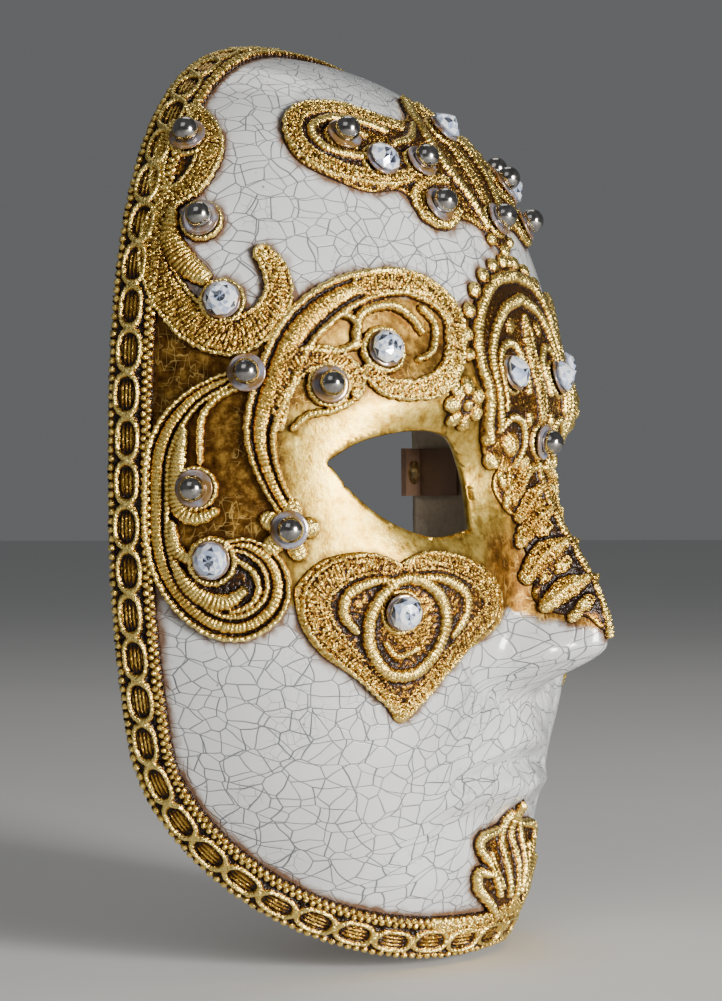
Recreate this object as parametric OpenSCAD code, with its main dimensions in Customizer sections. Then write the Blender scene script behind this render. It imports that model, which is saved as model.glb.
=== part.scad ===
// Venetian full-face masquerade mask: a papier-mache shell with gilded lace,
// an edge braid, glass crystals and silver domes glued to its face.
// Millimetres. +Z is up, the face looks along -Y, X = 0 is the plane of symmetry.
// The origin is on the plane of the back rim, level with the eyes.

/* [Shell] */
// Half of the shell's width at the temples
half_width = 85; // [80:1:90]
// Height of the top edge above the origin
top_height = 120; // [115:1:125]
// Reach of the lower half before its rim sweeps forward under the chin
jaw_reach = 138; // [134:1:142]
// Depth of the middle of the face in front of the back rim
face_depth = 75; // [70:1:80]
// How far the nose stands out of the face
nose_height = 20.5; // [17:0.5:22]
// Thickness of the papier-mache
wall = 2.5; // [2:0.1:3]

/* [Trim] */
// Width of the braid along the edge
braid_w = 11.5; // [10:0.5:12]
// Thickness of the braid
braid_t = 2.6; // [2:0.1:3]
// Thickness of the lace
lace_t = 2.4; // [2:0.1:3]
// How far the raised ring of the cheek lace stands above it
ring_rise = 1; // [0.6:0.1:1.4]

/* [Stones] */
// Diameter of the glass crystals
crystal_d = 8.4; // [7:0.2:9]
// Height of the glass crystals
crystal_h = 4; // [3:0.2:4.6]
// Diameter of the silver domes
dome_d = 6.4; // [5.4:0.2:7]
// Diameter of the clear disc under each stone
disc_d = 9.2; // [8.8:0.1:9.4]
// Thickness of the clear discs
disc_t = 0.6; // [0.4:0.1:0.8]

/* [Ribbon anchors] */
// Radius of the eyelet's hole
eyelet_bore_r = 2; // [1.5:0.1:2.2]
// Thickness of the leather tab
tab_t = 1.5; // [1.2:0.1:1.8]
// Height of the leather tab
tab_h = 14; // [12:1:16]

/* [Detail] */
// Rings of facets between the middle of the shell and its rim
shell_rings = 26; // [20:1:28]
// Facets around the shell
shell_sectors = 56; // [48:4:60]

/* [Hidden] */
// The face is laid out on a chart in degrees: a to the side of the middle line and b
// upwards, both seen from a point behind the face. The rim lies 90 degrees out.
OUTLINE_N_TOP = 2.7;
OUTLINE_N_LOW = 2;
LOW_REACH = 182;
SIDE_N = 2.1;
RIM_SWEEP = 34;
STEP = 0.3;
GLUE = 0.15;
SPLINE_STEPS = 3;
MM_PER_DEGREE = 1.42;
BRAID_SECTIONS = 96;
EYE_CUT_DEPTH = 80;
TAB_Z = 10;
TAB_BACK = -2;
TAB_GLUED = 14;
TAB_REACH = 11;
TAB_LEAN = 1.5;
TAB_GAP = 0.6;
EYELET_IN = 6;
EYELET_FLANGE_R = eyelet_bore_r + 1.6;
EYELET_BARREL_R = eyelet_bore_r + 0.6;
EYELET_FLANGE_T = 0.4;

RIGHT = -1;
LEFT = 1;
GOLD = "#b8893a";
IVORY = "#dedbd2";
SILVER = "#9a9a9c";
CLEAR = "#bfd0e6";
LEATHER = "#5b3a24";
BRASS = "#c9a14a";

// Soft bumps of the face, each [x, z, spread in x, spread in z, height]
BUMPS = [
    [36, 6, 17, 12, -8],      // eye socket
    [36, 27, 22, 8, 3],       // brow
    [0, 26, 12, 9, 1.5],      // between the brows
    [46, -22, 18, 15, 4],     // cheekbone
    [12.5, -37, 5.5, 6, 8],   // wing of the nose
    [0, -60, 13, 5, 2.5],     // upper lip
    [0, -66.5, 15, 2.2, -1.5],  // line of the mouth
    [0, -73, 12, 5, 3.2],     // lower lip
    [0, -84, 16, 5, -2],      // fold under the lip
    [0, -99, 17, 11, 3.5]     // chin
];

// The eye opening on the chart: over the top from the outer corner, then back below
EYE_UPPER = [[49.5, 8.5], [43, 11.2], [35, 12.2], [26.5, 11.8], [20, 9.5], [17, 4.5], [18.5, -3.5]];
EYE_LOWER = [[18.5, -3.5], [29, -4.8], [38, -2.2], [45, 2.8], [49.5, 8.5]];

// Lace bands on the chart, each key [a, b, width in mm]
UPPER_BAND = [[45, 67.3, 4], [44.5, 64.5, 6], [46, 61, 7], [49, 58.5, 7], [52.5, 57, 7], [55.5, 55.5, 7],
    [58.5, 52, 8], [62, 47.2, 9], [64.5, 41, 10], [63.5, 34.5, 9], [58.5, 32, 8], [52.5, 33.5, 8],
    [48.3, 36.5, 7], [48, 41, 5]];
UPPER_LEAF = [[56.2, 46.8, 3], [58, 44.8, 4], [58.3, 43, 3]];
LOWER_STEM = [[61.5, 25, 3], [66.5, 23.5, 4], [71.5, 21.5, 5], [76, 17, 6], [79, 10, 6], [79.4, -2.5, 6],
    [77.3, -13.3, 8], [73.5, -19.5, 9], [67.5, -22.5, 9], [61.5, -22, 9], [58, -18.5, 8], [58, -14, 7],
    [61, -10, 6], [65, -7.2, 5], [68.5, -6.5, 4]];
LOWER_CURL = [[72.3, 14.5, 3], [75, 11, 3.5], [76.2, 5, 3.5], [75, -0.8, 3.5], [71.8, -2, 4], [69, 0.5, 4]];
LOWER_LEAF = [[66, -14, 3], [64, -15.8, 4], [62.6, -16.8, 3]];
BROW_BAND = [[57.8, 2.8, 6], [59.3, 6.5, 7], [60, 11, 8], [59, 16.5, 9], [54.5, 23.5, 10], [48, 28.5, 10],
    [39.5, 31.3, 11], [30.5, 31.2, 10], [24, 28.8, 9], [19.4, 25.8, 7], [18.8, 22.2, 6], [22, 19.7, 6],
    [27, 19, 5], [32.5, 20, 4.5], [36.5, 21.8, 4]];

// Outlines of the filled laces on the chart, each for one half or one side
BROW_DROP = [[52.2, 18], [50.4, 20.9], [47, 22.6], [43.2, 21.8], [41.3, 19.6], [43.8, 17.3], [47.3, 16.3],
    [50.5, 16.6]];
DROP_MIDDLE = [47, 19.6];
CHEEK = [[55.5, -16], [54.5, -12.5], [51, -9.2], [45, -7.8], [40.5, -8.7], [38, -11], [34.5, -8.2],
    [29.5, -7.5], [23, -8.2], [15, -10], [10.5, -12], [10, -15], [15, -18.5], [20, -22],
    [24, -26.5], [28.5, -31.5],
    [33, -30], [38, -28.5], [43.5, -27], [48.5, -25.2], [53, -21.5]];
CHEEK_MIDDLE = [36, -18];
BROW_SHIELD = [[0, 32], [5, 30.7], [9, 28.2], [12, 25.5], [14, 22], [15.3, 17.5], [14.8, 12], [12.5, 9],
    [9, 7.2], [4, 6.2], [0, 6]];
SHIELD_MIDDLE = [0, 18];
CROWN = [[0, 63], [3, 60], [6, 57], [9, 55.3], [14.5, 56.3], [20, 59.2], [26, 61], [31, 59.5], [34, 55.5],
    [33.5, 51], [29.5, 46.5], [24.5, 43], [19, 42], [17.5, 40], [16.8, 37], [12.5, 35.2], [8, 37],
    [4, 36], [0, 33]];
CROWN_MIDDLE = [0, 48];
NOSE_LACE = [[0, 4.6], [4, 5.2], [8, 6], [11.5, 5.2], [12.5, 2.5], [10.5, -0.8], [6.8, -2.4], [5.8, -5],
    [4.6, -8], [5, -10.8], [4.2, -12.4], [2, -12.4], [1, -14.2], [0, -14.6]];
NOSE_MIDDLE = [0, -1];
CHIN_LACE = [[0, -33.5], [2.5, -36], [6, -37.6], [9, -40], [7, -42], [9.5, -44.2], [7, -46.2],
    [3, -46.8], [0, -46.8]];
CHIN_MIDDLE = [0, -41];
// Flowers: where, and [radius, depth of the scallops, number of petals]
FLOWER_AT = [19, 14];
FLOWER_MM = [3.7, 0.8, 6];
ROSETTE_AT = [57.7, -4];
ROSETTE_MM = [5, 0.8, 5];

// Stones, each [node name, a, b], one on each side
SIDE_CRYSTALS = [
    ["crystal_temple_upper", 58.8, 38],
    ["crystal_temple_lower", 70.5, -10.5],
    ["crystal_brow", 33.8, 24],
    ["crystal_shield", 7, 16],
    ["crystal_crown", 20.5, 46.5],
    ["crystal_cheek", 36.8, -17.2]
];
SIDE_DOMES = [
    ["dome_curl", 48, 65.5],
    ["dome_hook", 55, 51.5],
    ["dome_stem", 60, 25.4],
    ["dome_temple", 73.8, 4.5],
    ["dome_brow", 46.5, 21],
    ["dome_rosette", 57.7, -4],
    ["dome_crown_outer", 24.5, 52],
    ["dome_crown_inner", 13, 45.6],
    ["dome_crown_lower", 13.6, 38.6]
];
function both_sides(list) = [for (s = list, side = [RIGHT, LEFT])
    [str(s[0], side == RIGHT ? "_right" : "_left"), side, s[1], s[2]]];
// Every stone is [node name, side (0 for the middle line), a, b]
CRYSTALS = concat(both_sides(SIDE_CRYSTALS), [["crystal_crown_centre", 0, 0, 54]]);
DOMES = concat(both_sides(SIDE_DOMES), [["dome_crown_centre", 0, 0, 37.6], ["dome_shield_centre", 0, 0, 8]]);
STONES = concat(CRYSTALS, DOMES);

LACE_NODES = ["temple_scroll_upper_right", "temple_scroll_upper_left", "temple_scroll_lower_right",
    "temple_scroll_lower_left", "brow_scroll_right", "brow_scroll_left", "cheek_medallion_right",
    "cheek_medallion_left", "brow_flower_right", "brow_flower_left", "temple_rosette_right",
    "temple_rosette_left", "forehead_crown", "brow_shield", "nose_lace", "chin_palmette"];

// ---- The shape of the face ----

// Smooth step from 0 to 1
function ease(t) = let (c = min(max(t, 0), 1)) c * c * (3 - 2 * c);

// Exponent of the outline in a direction whose cosine from straight up is given
function outline_n(up) = OUTLINE_N_LOW + (OUTLINE_N_TOP - OUTLINE_N_LOW) * ease((up + 0.4) / 0.8);

// Distance from the origin to the outline, in the direction psi from straight up
function outline_r(psi) = let (
        n = outline_n(cos(psi)),
        reach = cos(psi) > 0 ? top_height : jaw_reach
    ) pow(pow(abs(sin(psi)) / half_width, n) + pow(abs(cos(psi)) / reach, n), -1 / n);

// Half of the outline's width at height z
function outline_x(z, n) = let (reach = z > 0 ? top_height : jaw_reach)
    half_width * pow(max(1 - pow(abs(z) / reach, n), 0), 1 / n);

// Depth of the middle line at height z, before the bumps
function middle_depth(z) = z >= 0
    ? face_depth * sqrt(max(1 - pow(min(z / top_height, 1), 2.5), 0))
    : face_depth * pow(1 - pow(-z / LOW_REACH, 2), 1 / 2.2);

function bump(b, x, z) = b[4] * exp(-pow((x - b[0]) / b[2], 2) - pow((z - b[1]) / b[3], 2));
function bumps(x, z) = [for (b = BUMPS) bump(b, x, z) + (b[0] == 0 ? 0 : bump(b, -x, z))];
function total(list) = list * [for (v = list) 1];

// The nose rises down its bridge and falls away under its tip
function nose(x, z) = let (rise = ease((12 - z) / 48))
    nose_height * rise * ease((z + 50) / 15) * exp(-pow(abs(x) / (5.5 + 4 * rise), 2.2));

function face_at(c) = let (
        rho = norm(c),
        psi = atan2(c[0], c[1]),
        r = outline_r(psi) * sin(rho),
        x = r * sin(psi),
        z = r * cos(psi),
        t = min(abs(x) / max(outline_x(z, outline_n(cos(psi))), 0.001), 1),
        relief = (total(bumps(x, z)) + nose(x, z)) * min(max(4 * cos(rho), 0), 1)
    ) [x, -middle_depth(z) * pow(1 - pow(t, SIDE_N), 1 / SIDE_N) - relief, z];

// Tangents along a and b, taken towards the middle so that they hold at the rim
function along_a(c) = let (h = c[0] > 0 ? -STEP : STEP) (face_at([c[0] + h, c[1]]) - face_at(c)) / h;
function along_b(c) = let (h = c[1] > 0 ? -STEP : STEP) (face_at([c[0], c[1] + h]) - face_at(c)) / h;
function unit(v) = v / norm(v);
function normal(c) = let (n = cross(along_b(c), along_a(c))) unit(n[1] > 0 ? -n : n);
function lifted(c, h) = face_at(c) + h * normal(c);

// The chart offset that moves a point by the vector v along the face
function chart_offset(c, v) = let (
        ta = along_a(c), tb = along_b(c),
        aa = ta * ta, ab = ta * tb, bb = tb * tb,
        va = ta * v, vb = tb * v,
        det = aa * bb - ab * ab
    ) [(va * bb - vb * ab) / det, (vb * aa - va * ab) / det];

// Distance of the rim from the middle of the chart, in the direction psi from straight up
function rim_rho(psi) = 90 - RIM_SWEEP * ease((abs(psi) - 127) / 53);
function rim_point(psi, f) = rim_rho(psi) * f * [sin(psi), cos(psi)];

// ---- Curves ----

function spline_point(a, b, c, d, t) = 0.5 * (2 * b + (c - a) * t + (2 * a - 5 * b + 4 * c - d) * t * t
    + (3 * b - a - 3 * c + d) * t * t * t);
function open_curve(k) = let (n = len(k)) concat(
    [for (i = [0 : n - 2], j = [0 : SPLINE_STEPS - 1])
        spline_point(k[max(i - 1, 0)], k[i], k[i + 1], k[min(i + 2, n - 1)], j / SPLINE_STEPS)],
    [k[n - 1]]);
function closed_curve(k, steps = 2) = let (n = len(k))
    [for (i = [0 : n - 1], j = [0 : steps - 1])
        spline_point(k[(i + n - 1) % n], k[i], k[(i + 1) % n], k[(i + 2) % n], j / steps)];
function on_side(k, side) = [for (p = k) len(p) > 2 ? [side * p[0], p[1], p[2]] : [side * p[0], p[1]]];
// A half outline from top to bottom, closed by its mirror image
function both_halves(k) = concat(k, [for (i = [len(k) - 2 : -1 : 1]) [-k[i][0], k[i][1]]]);

// ---- Solids that follow the face ----

// One cross-section of a strip, low and domed: [fraction of half width, fraction of height]
SECTION = [[-1, 0], [-1, 0.6], [-0.5, 1], [0.5, 1], [1, 0.6], [1, 0]];
function strip_section(c, along, w, high) = let (side = unit(cross(normal(c), along)))
    [for (s = SECTION) lifted(c + chart_offset(c, s[0] * w / 2 * side), -GLUE + s[1] * (high + GLUE))];

// A strip along close-set points [a, b, width], open with flat ends or closed on itself
module strip(path, high, closed) {
    n = len(path);
    m = len(SECTION);
    spots = [for (p = path) face_at([p[0], p[1]])];
    points = [for (i = [0 : n - 1])
        let (
            before = closed ? (i + n - 1) % n : max(i - 1, 0),
            after = closed ? (i + 1) % n : min(i + 1, n - 1)
        )
        each strip_section([path[i][0], path[i][1]], spots[after] - spots[before], path[i][2], high)];
    sides = [for (i = [0 : closed ? n - 1 : n - 2], j = [0 : m - 1])
        let (
            a = i * m + j, b = i * m + (j + 1) % m,
            next = ((i + 1) % n) * m,
            c = next + j, d = next + (j + 1) % m
        )
        each [[a, c, b], [b, c, d]]];
    ends = closed ? [] : [for (j = [1 : m - 2])
        each [[0, j, j + 1], [(n - 1) * m, (n - 1) * m + j + 1, (n - 1) * m + j]]];
    polyhedron(points, concat(sides, ends));
}

// A sheet inside a closed outline that is star-shaped about its middle.
// Each ring is [fraction of the way to the outline, height above the shell]
UNDERSIDE = [for (f = [1, 0.8, 0.6, 0.4, 0.2, 0]) [f, -GLUE]];
PLAIN_SHEET = concat(
    [for (f = [0, 0.2, 0.4, 0.6, 0.8, 0.92]) [f, lace_t]],
    [[1, 0.6 * lace_t]], UNDERSIDE);
RINGED_SHEET = concat(
    [for (f = [0, 0.2, 0.36]) [f, lace_t]],
    [for (f = [0.42, 0.52]) [f, lace_t + ring_rise]],
    [for (f = [0.58, 0.74, 0.9]) [f, lace_t]],
    [[1, 0.6 * lace_t]], UNDERSIDE);
module plate(outline, middle, rings = PLAIN_SHEET) {
    path = closed_curve(outline);
    n = len(path);
    m = len(rings) - 2;
    points = concat(
        [lifted(middle, rings[0][1])],
        [for (i = [1 : m], p = path) lifted(middle + rings[i][0] * (p - middle), rings[i][1])],
        [lifted(middle, rings[m + 1][1])]);
    last = m * n + 1;
    faces = concat(
        [for (j = [0 : n - 1]) [0, 1 + j, 1 + (j + 1) % n]],
        [for (i = [0 : m - 2], j = [0 : n - 1])
            let (a = 1 + i * n + j, b = 1 + i * n + (j + 1) % n)
            each [[a, a + n, b], [b, a + n, b + n]]],
        [for (j = [0 : n - 1]) [last, last - n + (j + 1) % n, last - n + j]]);
    // An outline that runs the other way round has its faces turned
    turning = total([for (j = [0 : n - 1]) cross(path[j] - middle, path[(j + 1) % n] - middle)]);
    polyhedron(points, turning > 0 ? faces : [for (f = faces) [f[2], f[1], f[0]]]);
}

// A round scalloped sheet; size is [radius, depth of the scallops, number of petals]
module petals(at, side, size) {
    c = [side * at[0], at[1]];
    u = unit(along_a(c));
    v = unit(cross(normal(c), u));
    outline = [for (i = [0 : 3 * size[2] - 1])
        let (t = 120 * i / size[2], r = size[0] + size[1] * cos(size[2] * t))
        c + chart_offset(c, r * (cos(t) * u + sin(t) * v))];
    plate(outline, c);
}

// ---- The shell ----

function shell_skin(h) = concat(
    [lifted([0, 0], h)],
    [for (i = [1 : shell_rings], j = [0 : shell_sectors - 1])
        lifted(rim_point(360 * (j + 0.5) / shell_sectors - 180, i / shell_rings), h)]);

module shell_solid() {
    n = shell_sectors;
    outer = shell_skin(0);
    inner = shell_skin(-wall);
    skin = len(outer);
    cap = [for (j = [0 : n - 1]) [0, 1 + (j + 1) % n, 1 + j]];
    mantle = [for (i = [0 : shell_rings - 2], j = [0 : n - 1])
        let (a = 1 + i * n + j, b = 1 + i * n + (j + 1) % n)
        each [[a, b, a + n], [b, b + n, a + n]]];
    face_out = concat(cap, mantle);
    face_in = [for (f = face_out) [f[2] + skin, f[1] + skin, f[0] + skin]];
    edge = 1 + (shell_rings - 1) * n;
    rim = [for (j = [0 : n - 1])
        let (a = edge + j, b = edge + (j + 1) % n)
        each [[a, b, a + skin], [b, b + skin, a + skin]]];
    polyhedron(concat(outer, inner), concat(face_out, face_in, rim));
}

module eye_cutter(side) {
    upper = open_curve(EYE_UPPER);
    lower = open_curve(EYE_LOWER);
    edge = concat(upper, [for (i = [1 : len(lower) - 2]) lower[i]]);
    spots = [for (p = edge) face_at([side * p[0], p[1]])];
    rotate([90, 0, 0]) linear_extrude(2 * EYE_CUT_DEPTH, center = true)
        polygon([for (s = spots) [s[0], s[2]]]);
}

module mask_shell() color(IVORY) difference() {
    shell_solid();
    eye_cutter(RIGHT);
    eye_cutter(LEFT);
}

// ---- Braid and lace ----

function braid_key(psi) = let (c = (rim_rho(psi) - braid_w / 2 / MM_PER_DEGREE) * [sin(psi), cos(psi)])
    [c[0], c[1], braid_w];
module edge_braid() color(GOLD)
    strip([for (i = [0 : BRAID_SECTIONS - 1]) braid_key(360 * i / BRAID_SECTIONS - 180)], braid_t, true);

module lace_band(keys, side) strip(open_curve(on_side(keys, side)), lace_t, false);
module lace_sheet(outline, middle, side, rings)
    plate(on_side(outline, side), [side * middle[0], middle[1]], rings);

module temple_scroll_upper(side) color(GOLD) {
    lace_band(UPPER_BAND, side);
    lace_band(UPPER_LEAF, side);
}

module temple_scroll_lower(side) color(GOLD) {
    lace_band(LOWER_STEM, side);
    lace_band(LOWER_CURL, side);
    lace_band(LOWER_LEAF, side);
}

module brow_scroll(side) color(GOLD) {
    lace_band(BROW_BAND, side);
    lace_sheet(BROW_DROP, DROP_MIDDLE, side, PLAIN_SHEET);
}

module cheek_medallion(side) color(GOLD) lace_sheet(CHEEK, CHEEK_MIDDLE, side, RINGED_SHEET);
module brow_flower(side) color(GOLD) petals(FLOWER_AT, side, FLOWER_MM);
module temple_rosette(side) color(GOLD) petals(ROSETTE_AT, side, ROSETTE_MM);
module forehead_crown() color(GOLD) plate(both_halves(CROWN), CROWN_MIDDLE);
module brow_shield() color(GOLD) plate(both_halves(BROW_SHIELD), SHIELD_MIDDLE);
module nose_lace() color(GOLD) plate(both_halves(NOSE_LACE), NOSE_MIDDLE);
module chin_palmette() color(GOLD) plate(both_halves(CHIN_LACE), CHIN_MIDDLE);

// ---- Stones ----

// Places a child so that its +Z stands on the face at a stone's place
module at_stone(s) {
    c = [(s[1] == 0 ? 1 : s[1]) * s[2], s[3]];
    n = normal(c);
    u = unit(cross([0, 0, 1], n));
    v = cross(n, u);
    o = lifted(c, lace_t);
    multmatrix([for (i = [0 : 2]) [u[i], v[i], n[i], o[i]]])
        children();
}

module disc() cylinder(h = disc_t, d = disc_d, $fn = 48);

// A round crystal: a short girdle, a sloping crown and a flat table
module crystal() {
    r = crystal_d / 2;
    rotate_extrude($fn = 48)
        polygon([[0, 0], [0.8 * r, 0], [r, 0.2 * crystal_h], [r, 0.35 * crystal_h], [0.45 * r, crystal_h],
            [0, crystal_h]]);
}

// A dome: a flattened ball with a flat foot
module dome() {
    r = dome_d / 2;
    rotate_extrude($fn = 48) difference() {
        translate([0, 0.45 * r]) circle(r, $fn = 48);
        translate([-2 * r, -2 * r]) square([4 * r, 2 * r]);
        translate([-2 * r, -r]) square([2 * r, 4 * r]);
    }
}

module placed_crystal(s) color(CLEAR) at_stone(s) translate([0, 0, disc_t]) crystal();
module placed_dome(s) color(SILVER) at_stone(s) translate([0, 0, disc_t]) dome();
module stone_discs(side) color(CLEAR) for (s = STONES) if (s[1] == side) at_stone(s) disc();

// ---- Ribbon anchors ----

// Inner face of the shell at the tab's height, measured to the side
function inner_wall_x() = outline_x(TAB_Z + tab_h / 2, OUTLINE_N_TOP) - wall - TAB_GAP;

// An angle of leather: one leg glued inside the temple, the other turned inwards
module ribbon_tab(side) color(LEATHER) {
    x = inner_wall_x();
    translate([0, 0, TAB_Z - tab_h / 2]) mirror([side == RIGHT ? 1 : 0, 0, 0]) difference() {
        linear_extrude(tab_h) polygon([
            [x, TAB_BACK], [x - TAB_REACH, TAB_BACK], [x - TAB_REACH, TAB_BACK - tab_t],
            [x - tab_t, TAB_BACK - tab_t], [x - tab_t - TAB_LEAN, TAB_BACK - TAB_GLUED],
            [x - TAB_LEAN, TAB_BACK - TAB_GLUED]]);
        translate([x - EYELET_IN, TAB_BACK + 1, tab_h / 2]) rotate([90, 0, 0])
            cylinder(h = tab_t + 2, r = EYELET_BARREL_R, $fn = 48);
    }
}

// A brass eyelet: a barrel through the leather with a flange on each face
module ribbon_eyelet(side) color(BRASS) {
    x = side * (inner_wall_x() - EYELET_IN);
    translate([x, TAB_BACK + EYELET_FLANGE_T, TAB_Z]) rotate([90, 0, 0]) difference() {
        union() {
            cylinder(h = EYELET_FLANGE_T, r = EYELET_FLANGE_R, $fn = 48);
            cylinder(h = tab_t + 2 * EYELET_FLANGE_T, r = EYELET_BARREL_R, $fn = 48);
            translate([0, 0, tab_t + EYELET_FLANGE_T])
                cylinder(h = EYELET_FLANGE_T, r = EYELET_FLANGE_R, $fn = 48);
        }
        translate([0, 0, -1]) cylinder(h = tab_t + 2 * EYELET_FLANGE_T + 2, r = eyelet_bore_r, $fn = 48);
    }
}

mask_shell();
edge_braid();
temple_scroll_upper(RIGHT);  // temple_scroll_upper_right
temple_scroll_upper(LEFT);  // temple_scroll_upper_left
temple_scroll_lower(RIGHT);  // temple_scroll_lower_right
temple_scroll_lower(LEFT);  // temple_scroll_lower_left
brow_scroll(RIGHT);  // brow_scroll_right
brow_scroll(LEFT);  // brow_scroll_left
cheek_medallion(RIGHT);  // cheek_medallion_right
cheek_medallion(LEFT);  // cheek_medallion_left
brow_flower(RIGHT);  // brow_flower_right
brow_flower(LEFT);  // brow_flower_left
temple_rosette(RIGHT);  // temple_rosette_right
temple_rosette(LEFT);  // temple_rosette_left
forehead_crown();
brow_shield();
nose_lace();
chin_palmette();
for (s = CRYSTALS) placed_crystal(s);
for (s = DOMES) placed_dome(s);
stone_discs(RIGHT);  // stone_discs_right
stone_discs(LEFT);  // stone_discs_left
stone_discs(0);  // stone_discs_centre
ribbon_tab(RIGHT);  // ribbon_tab_right
ribbon_tab(LEFT);  // ribbon_tab_left
ribbon_eyelet(RIGHT);  // ribbon_eyelet_right
ribbon_eyelet(LEFT);  // ribbon_eyelet_left
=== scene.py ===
"""Looks of the venetian mask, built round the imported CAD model.

The face is laid out on a chart in degrees: a to the side of the middle line and b upwards.
Lengths in this file are millimetres until a mesh is made, and the shapes are drawn on the
wearer's left (+X) side and mirrored.
"""
import math

import bpy
import numpy as np
from mathutils import Matrix, Vector
from mathutils.kdtree import KDTree


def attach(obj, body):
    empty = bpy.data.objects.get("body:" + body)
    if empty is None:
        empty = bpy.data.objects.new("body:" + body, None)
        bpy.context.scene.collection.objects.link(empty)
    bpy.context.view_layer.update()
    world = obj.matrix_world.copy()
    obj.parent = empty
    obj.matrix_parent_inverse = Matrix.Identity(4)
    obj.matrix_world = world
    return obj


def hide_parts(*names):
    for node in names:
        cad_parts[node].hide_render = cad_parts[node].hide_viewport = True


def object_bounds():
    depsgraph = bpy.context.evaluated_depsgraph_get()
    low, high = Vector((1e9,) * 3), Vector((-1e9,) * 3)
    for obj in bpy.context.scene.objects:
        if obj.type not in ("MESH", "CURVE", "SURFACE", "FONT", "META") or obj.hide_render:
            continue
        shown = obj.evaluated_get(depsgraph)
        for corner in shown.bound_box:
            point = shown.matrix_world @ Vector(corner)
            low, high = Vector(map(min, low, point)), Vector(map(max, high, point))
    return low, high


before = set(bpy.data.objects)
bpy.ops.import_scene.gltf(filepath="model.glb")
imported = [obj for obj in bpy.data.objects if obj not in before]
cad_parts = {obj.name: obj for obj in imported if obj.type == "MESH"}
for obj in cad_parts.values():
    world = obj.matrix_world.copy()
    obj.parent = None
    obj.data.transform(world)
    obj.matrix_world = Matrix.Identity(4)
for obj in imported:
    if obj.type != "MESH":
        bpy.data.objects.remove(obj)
cad_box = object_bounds()

MM = 0.001
HALF_WIDTH, TOP, JAW = 85.0, 120.0, 138.0       # reach of the outline from the origin
DEPTH, NOSE, WALL = 75.0, 20.5, 2.5
PITCH = 0.27            # step of the lace grids
SUNK = -0.45            # how far the edges of the lace drop below the shell
EYE_MM = 1.35           # millimetres to a degree of the chart round the eyes
SIDES = {"right": -1, "left": 1}
rng = np.random.default_rng(11)


# ---- The shape of the face, as in the CAD ----

BROW_POWER, CHIN_POWER, CHIN_REACH, CHEEK_POWER = 2.5, 2.2, 182.0, 2.1      # of the depth profile
# Soft bumps: middle in x and z, spread in x and z, height; mirrored unless x is 0
BUMPS = [(36, 6, 17, 12, -8), (36, 27, 22, 8, 3), (0, 26, 12, 9, 1.5), (46, -22, 18, 15, 4),
         (12.5, -37, 5.5, 6, 8), (0, -60, 13, 5, 2.5), (0, -66.5, 15, 2.2, -1.5), (0, -73, 12, 5, 3.2),
         (0, -84, 16, 5, -2), (0, -99, 17, 11, 3.5)]
# Finer folds than the CAD has: a cubic curve in x and z, its width and its height
FOLDS = [((30, -36), (26, -43), (20, -47.5), (10, -50), 3.0, -1.6),       # groove behind the nostril
         ((31, -43), (36, -48), (42, -54), (45, -62), 6, 1.3),            # cheek beside the mouth
         ((27, -46), (29, -54), (29, -61), (27, -67), 3.6, -0.9),         # fold from nose to mouth
         ((2, -59), (9, -60), (15, -62), (22, -65), 2.4, 0.9),            # upper lip
         ((0, -65), (8, -65), (16, -66.5), (26, -69), 2.0, -1.1),         # between the lips
         ((33, -74), (24, -72.5), (13, -72), (5, -70.5), 2.6, 1.2),       # lower lip
         ((3, -78.5), (10, -78), (18, -78), (28, -79.5), 3.2, -1.1),      # below the lower lip
         ((22, -91), (27, -95), (31, -96), (36, -93), 6, 1.1)]            # side of the chin


def ease(t):
    t = np.clip(t, 0, 1)
    return t * t * (3 - 2 * t)


def folds(x, z):
    """Height of the finer folds, the same on both sides."""
    out = np.zeros_like(x)
    s = np.arange(13) / 12
    for a, b, c, d, width, height in FOLDS:
        line = [(1 - s) ** 3 * a[i] + 3 * s * (1 - s) ** 2 * b[i]
                + 3 * s * s * (1 - s) * c[i] + s ** 3 * d[i] for i in (0, 1)]
        gap = np.min(np.hypot(np.abs(x)[..., None] - line[0], z[..., None] - line[1]), -1)
        out += height * np.exp(-(gap / width) ** 2)
    return out


def relief(x, z):
    """How far the bumps, the nose and the folds stand out from the plain face."""
    out = np.zeros_like(x)
    for bx, bz, sx, sz, h in BUMPS:
        for s in ((1, -1) if bx else (1,)):
            out += h * np.exp(-((s * x - bx) / sx) ** 2 - ((z - bz) / sz) ** 2)
    rise = ease((12 - z) / 48)
    nose = NOSE * rise * ease((z + 50) / 15) * np.exp(-(np.abs(x) / (5.5 + 4 * rise)) ** 2.2)
    return out + nose + folds(x, z)


def face_at(c):
    """The point of the face, in mm, at each place on the chart."""
    c = np.asarray(c, float)
    rho, psi = np.radians(np.hypot(c[..., 0], c[..., 1])), np.arctan2(c[..., 0], c[..., 1])
    up = np.cos(psi)
    n = 2 + 0.7 * ease((up + 0.4) / 0.8)
    reach = np.where(up > 0, TOP, JAW)
    r = ((np.abs(np.sin(psi)) / HALF_WIDTH) ** n + (np.abs(up) / reach) ** n) ** (-1 / n) * np.sin(rho)
    x, z = r * np.sin(psi), r * up
    width = HALF_WIDTH * np.maximum(1 - (np.abs(z) / np.where(z > 0, TOP, JAW)) ** n, 0) ** (1 / n)
    t = np.clip(np.abs(x) / np.maximum(width, 1e-3), 0, 1)
    high = DEPTH * np.sqrt(np.maximum(1 - np.clip(z / TOP, 0, 1) ** BROW_POWER, 0))
    low = DEPTH * np.maximum(1 - (np.maximum(-z, 0) / CHIN_REACH) ** 2, 0) ** (1 / CHIN_POWER)
    y = -np.where(z >= 0, high, low) * (1 - t ** CHEEK_POWER) ** (1 / CHEEK_POWER)
    return np.stack([x, y - relief(x, z) * np.clip(4 * np.cos(rho), 0, 1), z], -1)


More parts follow.
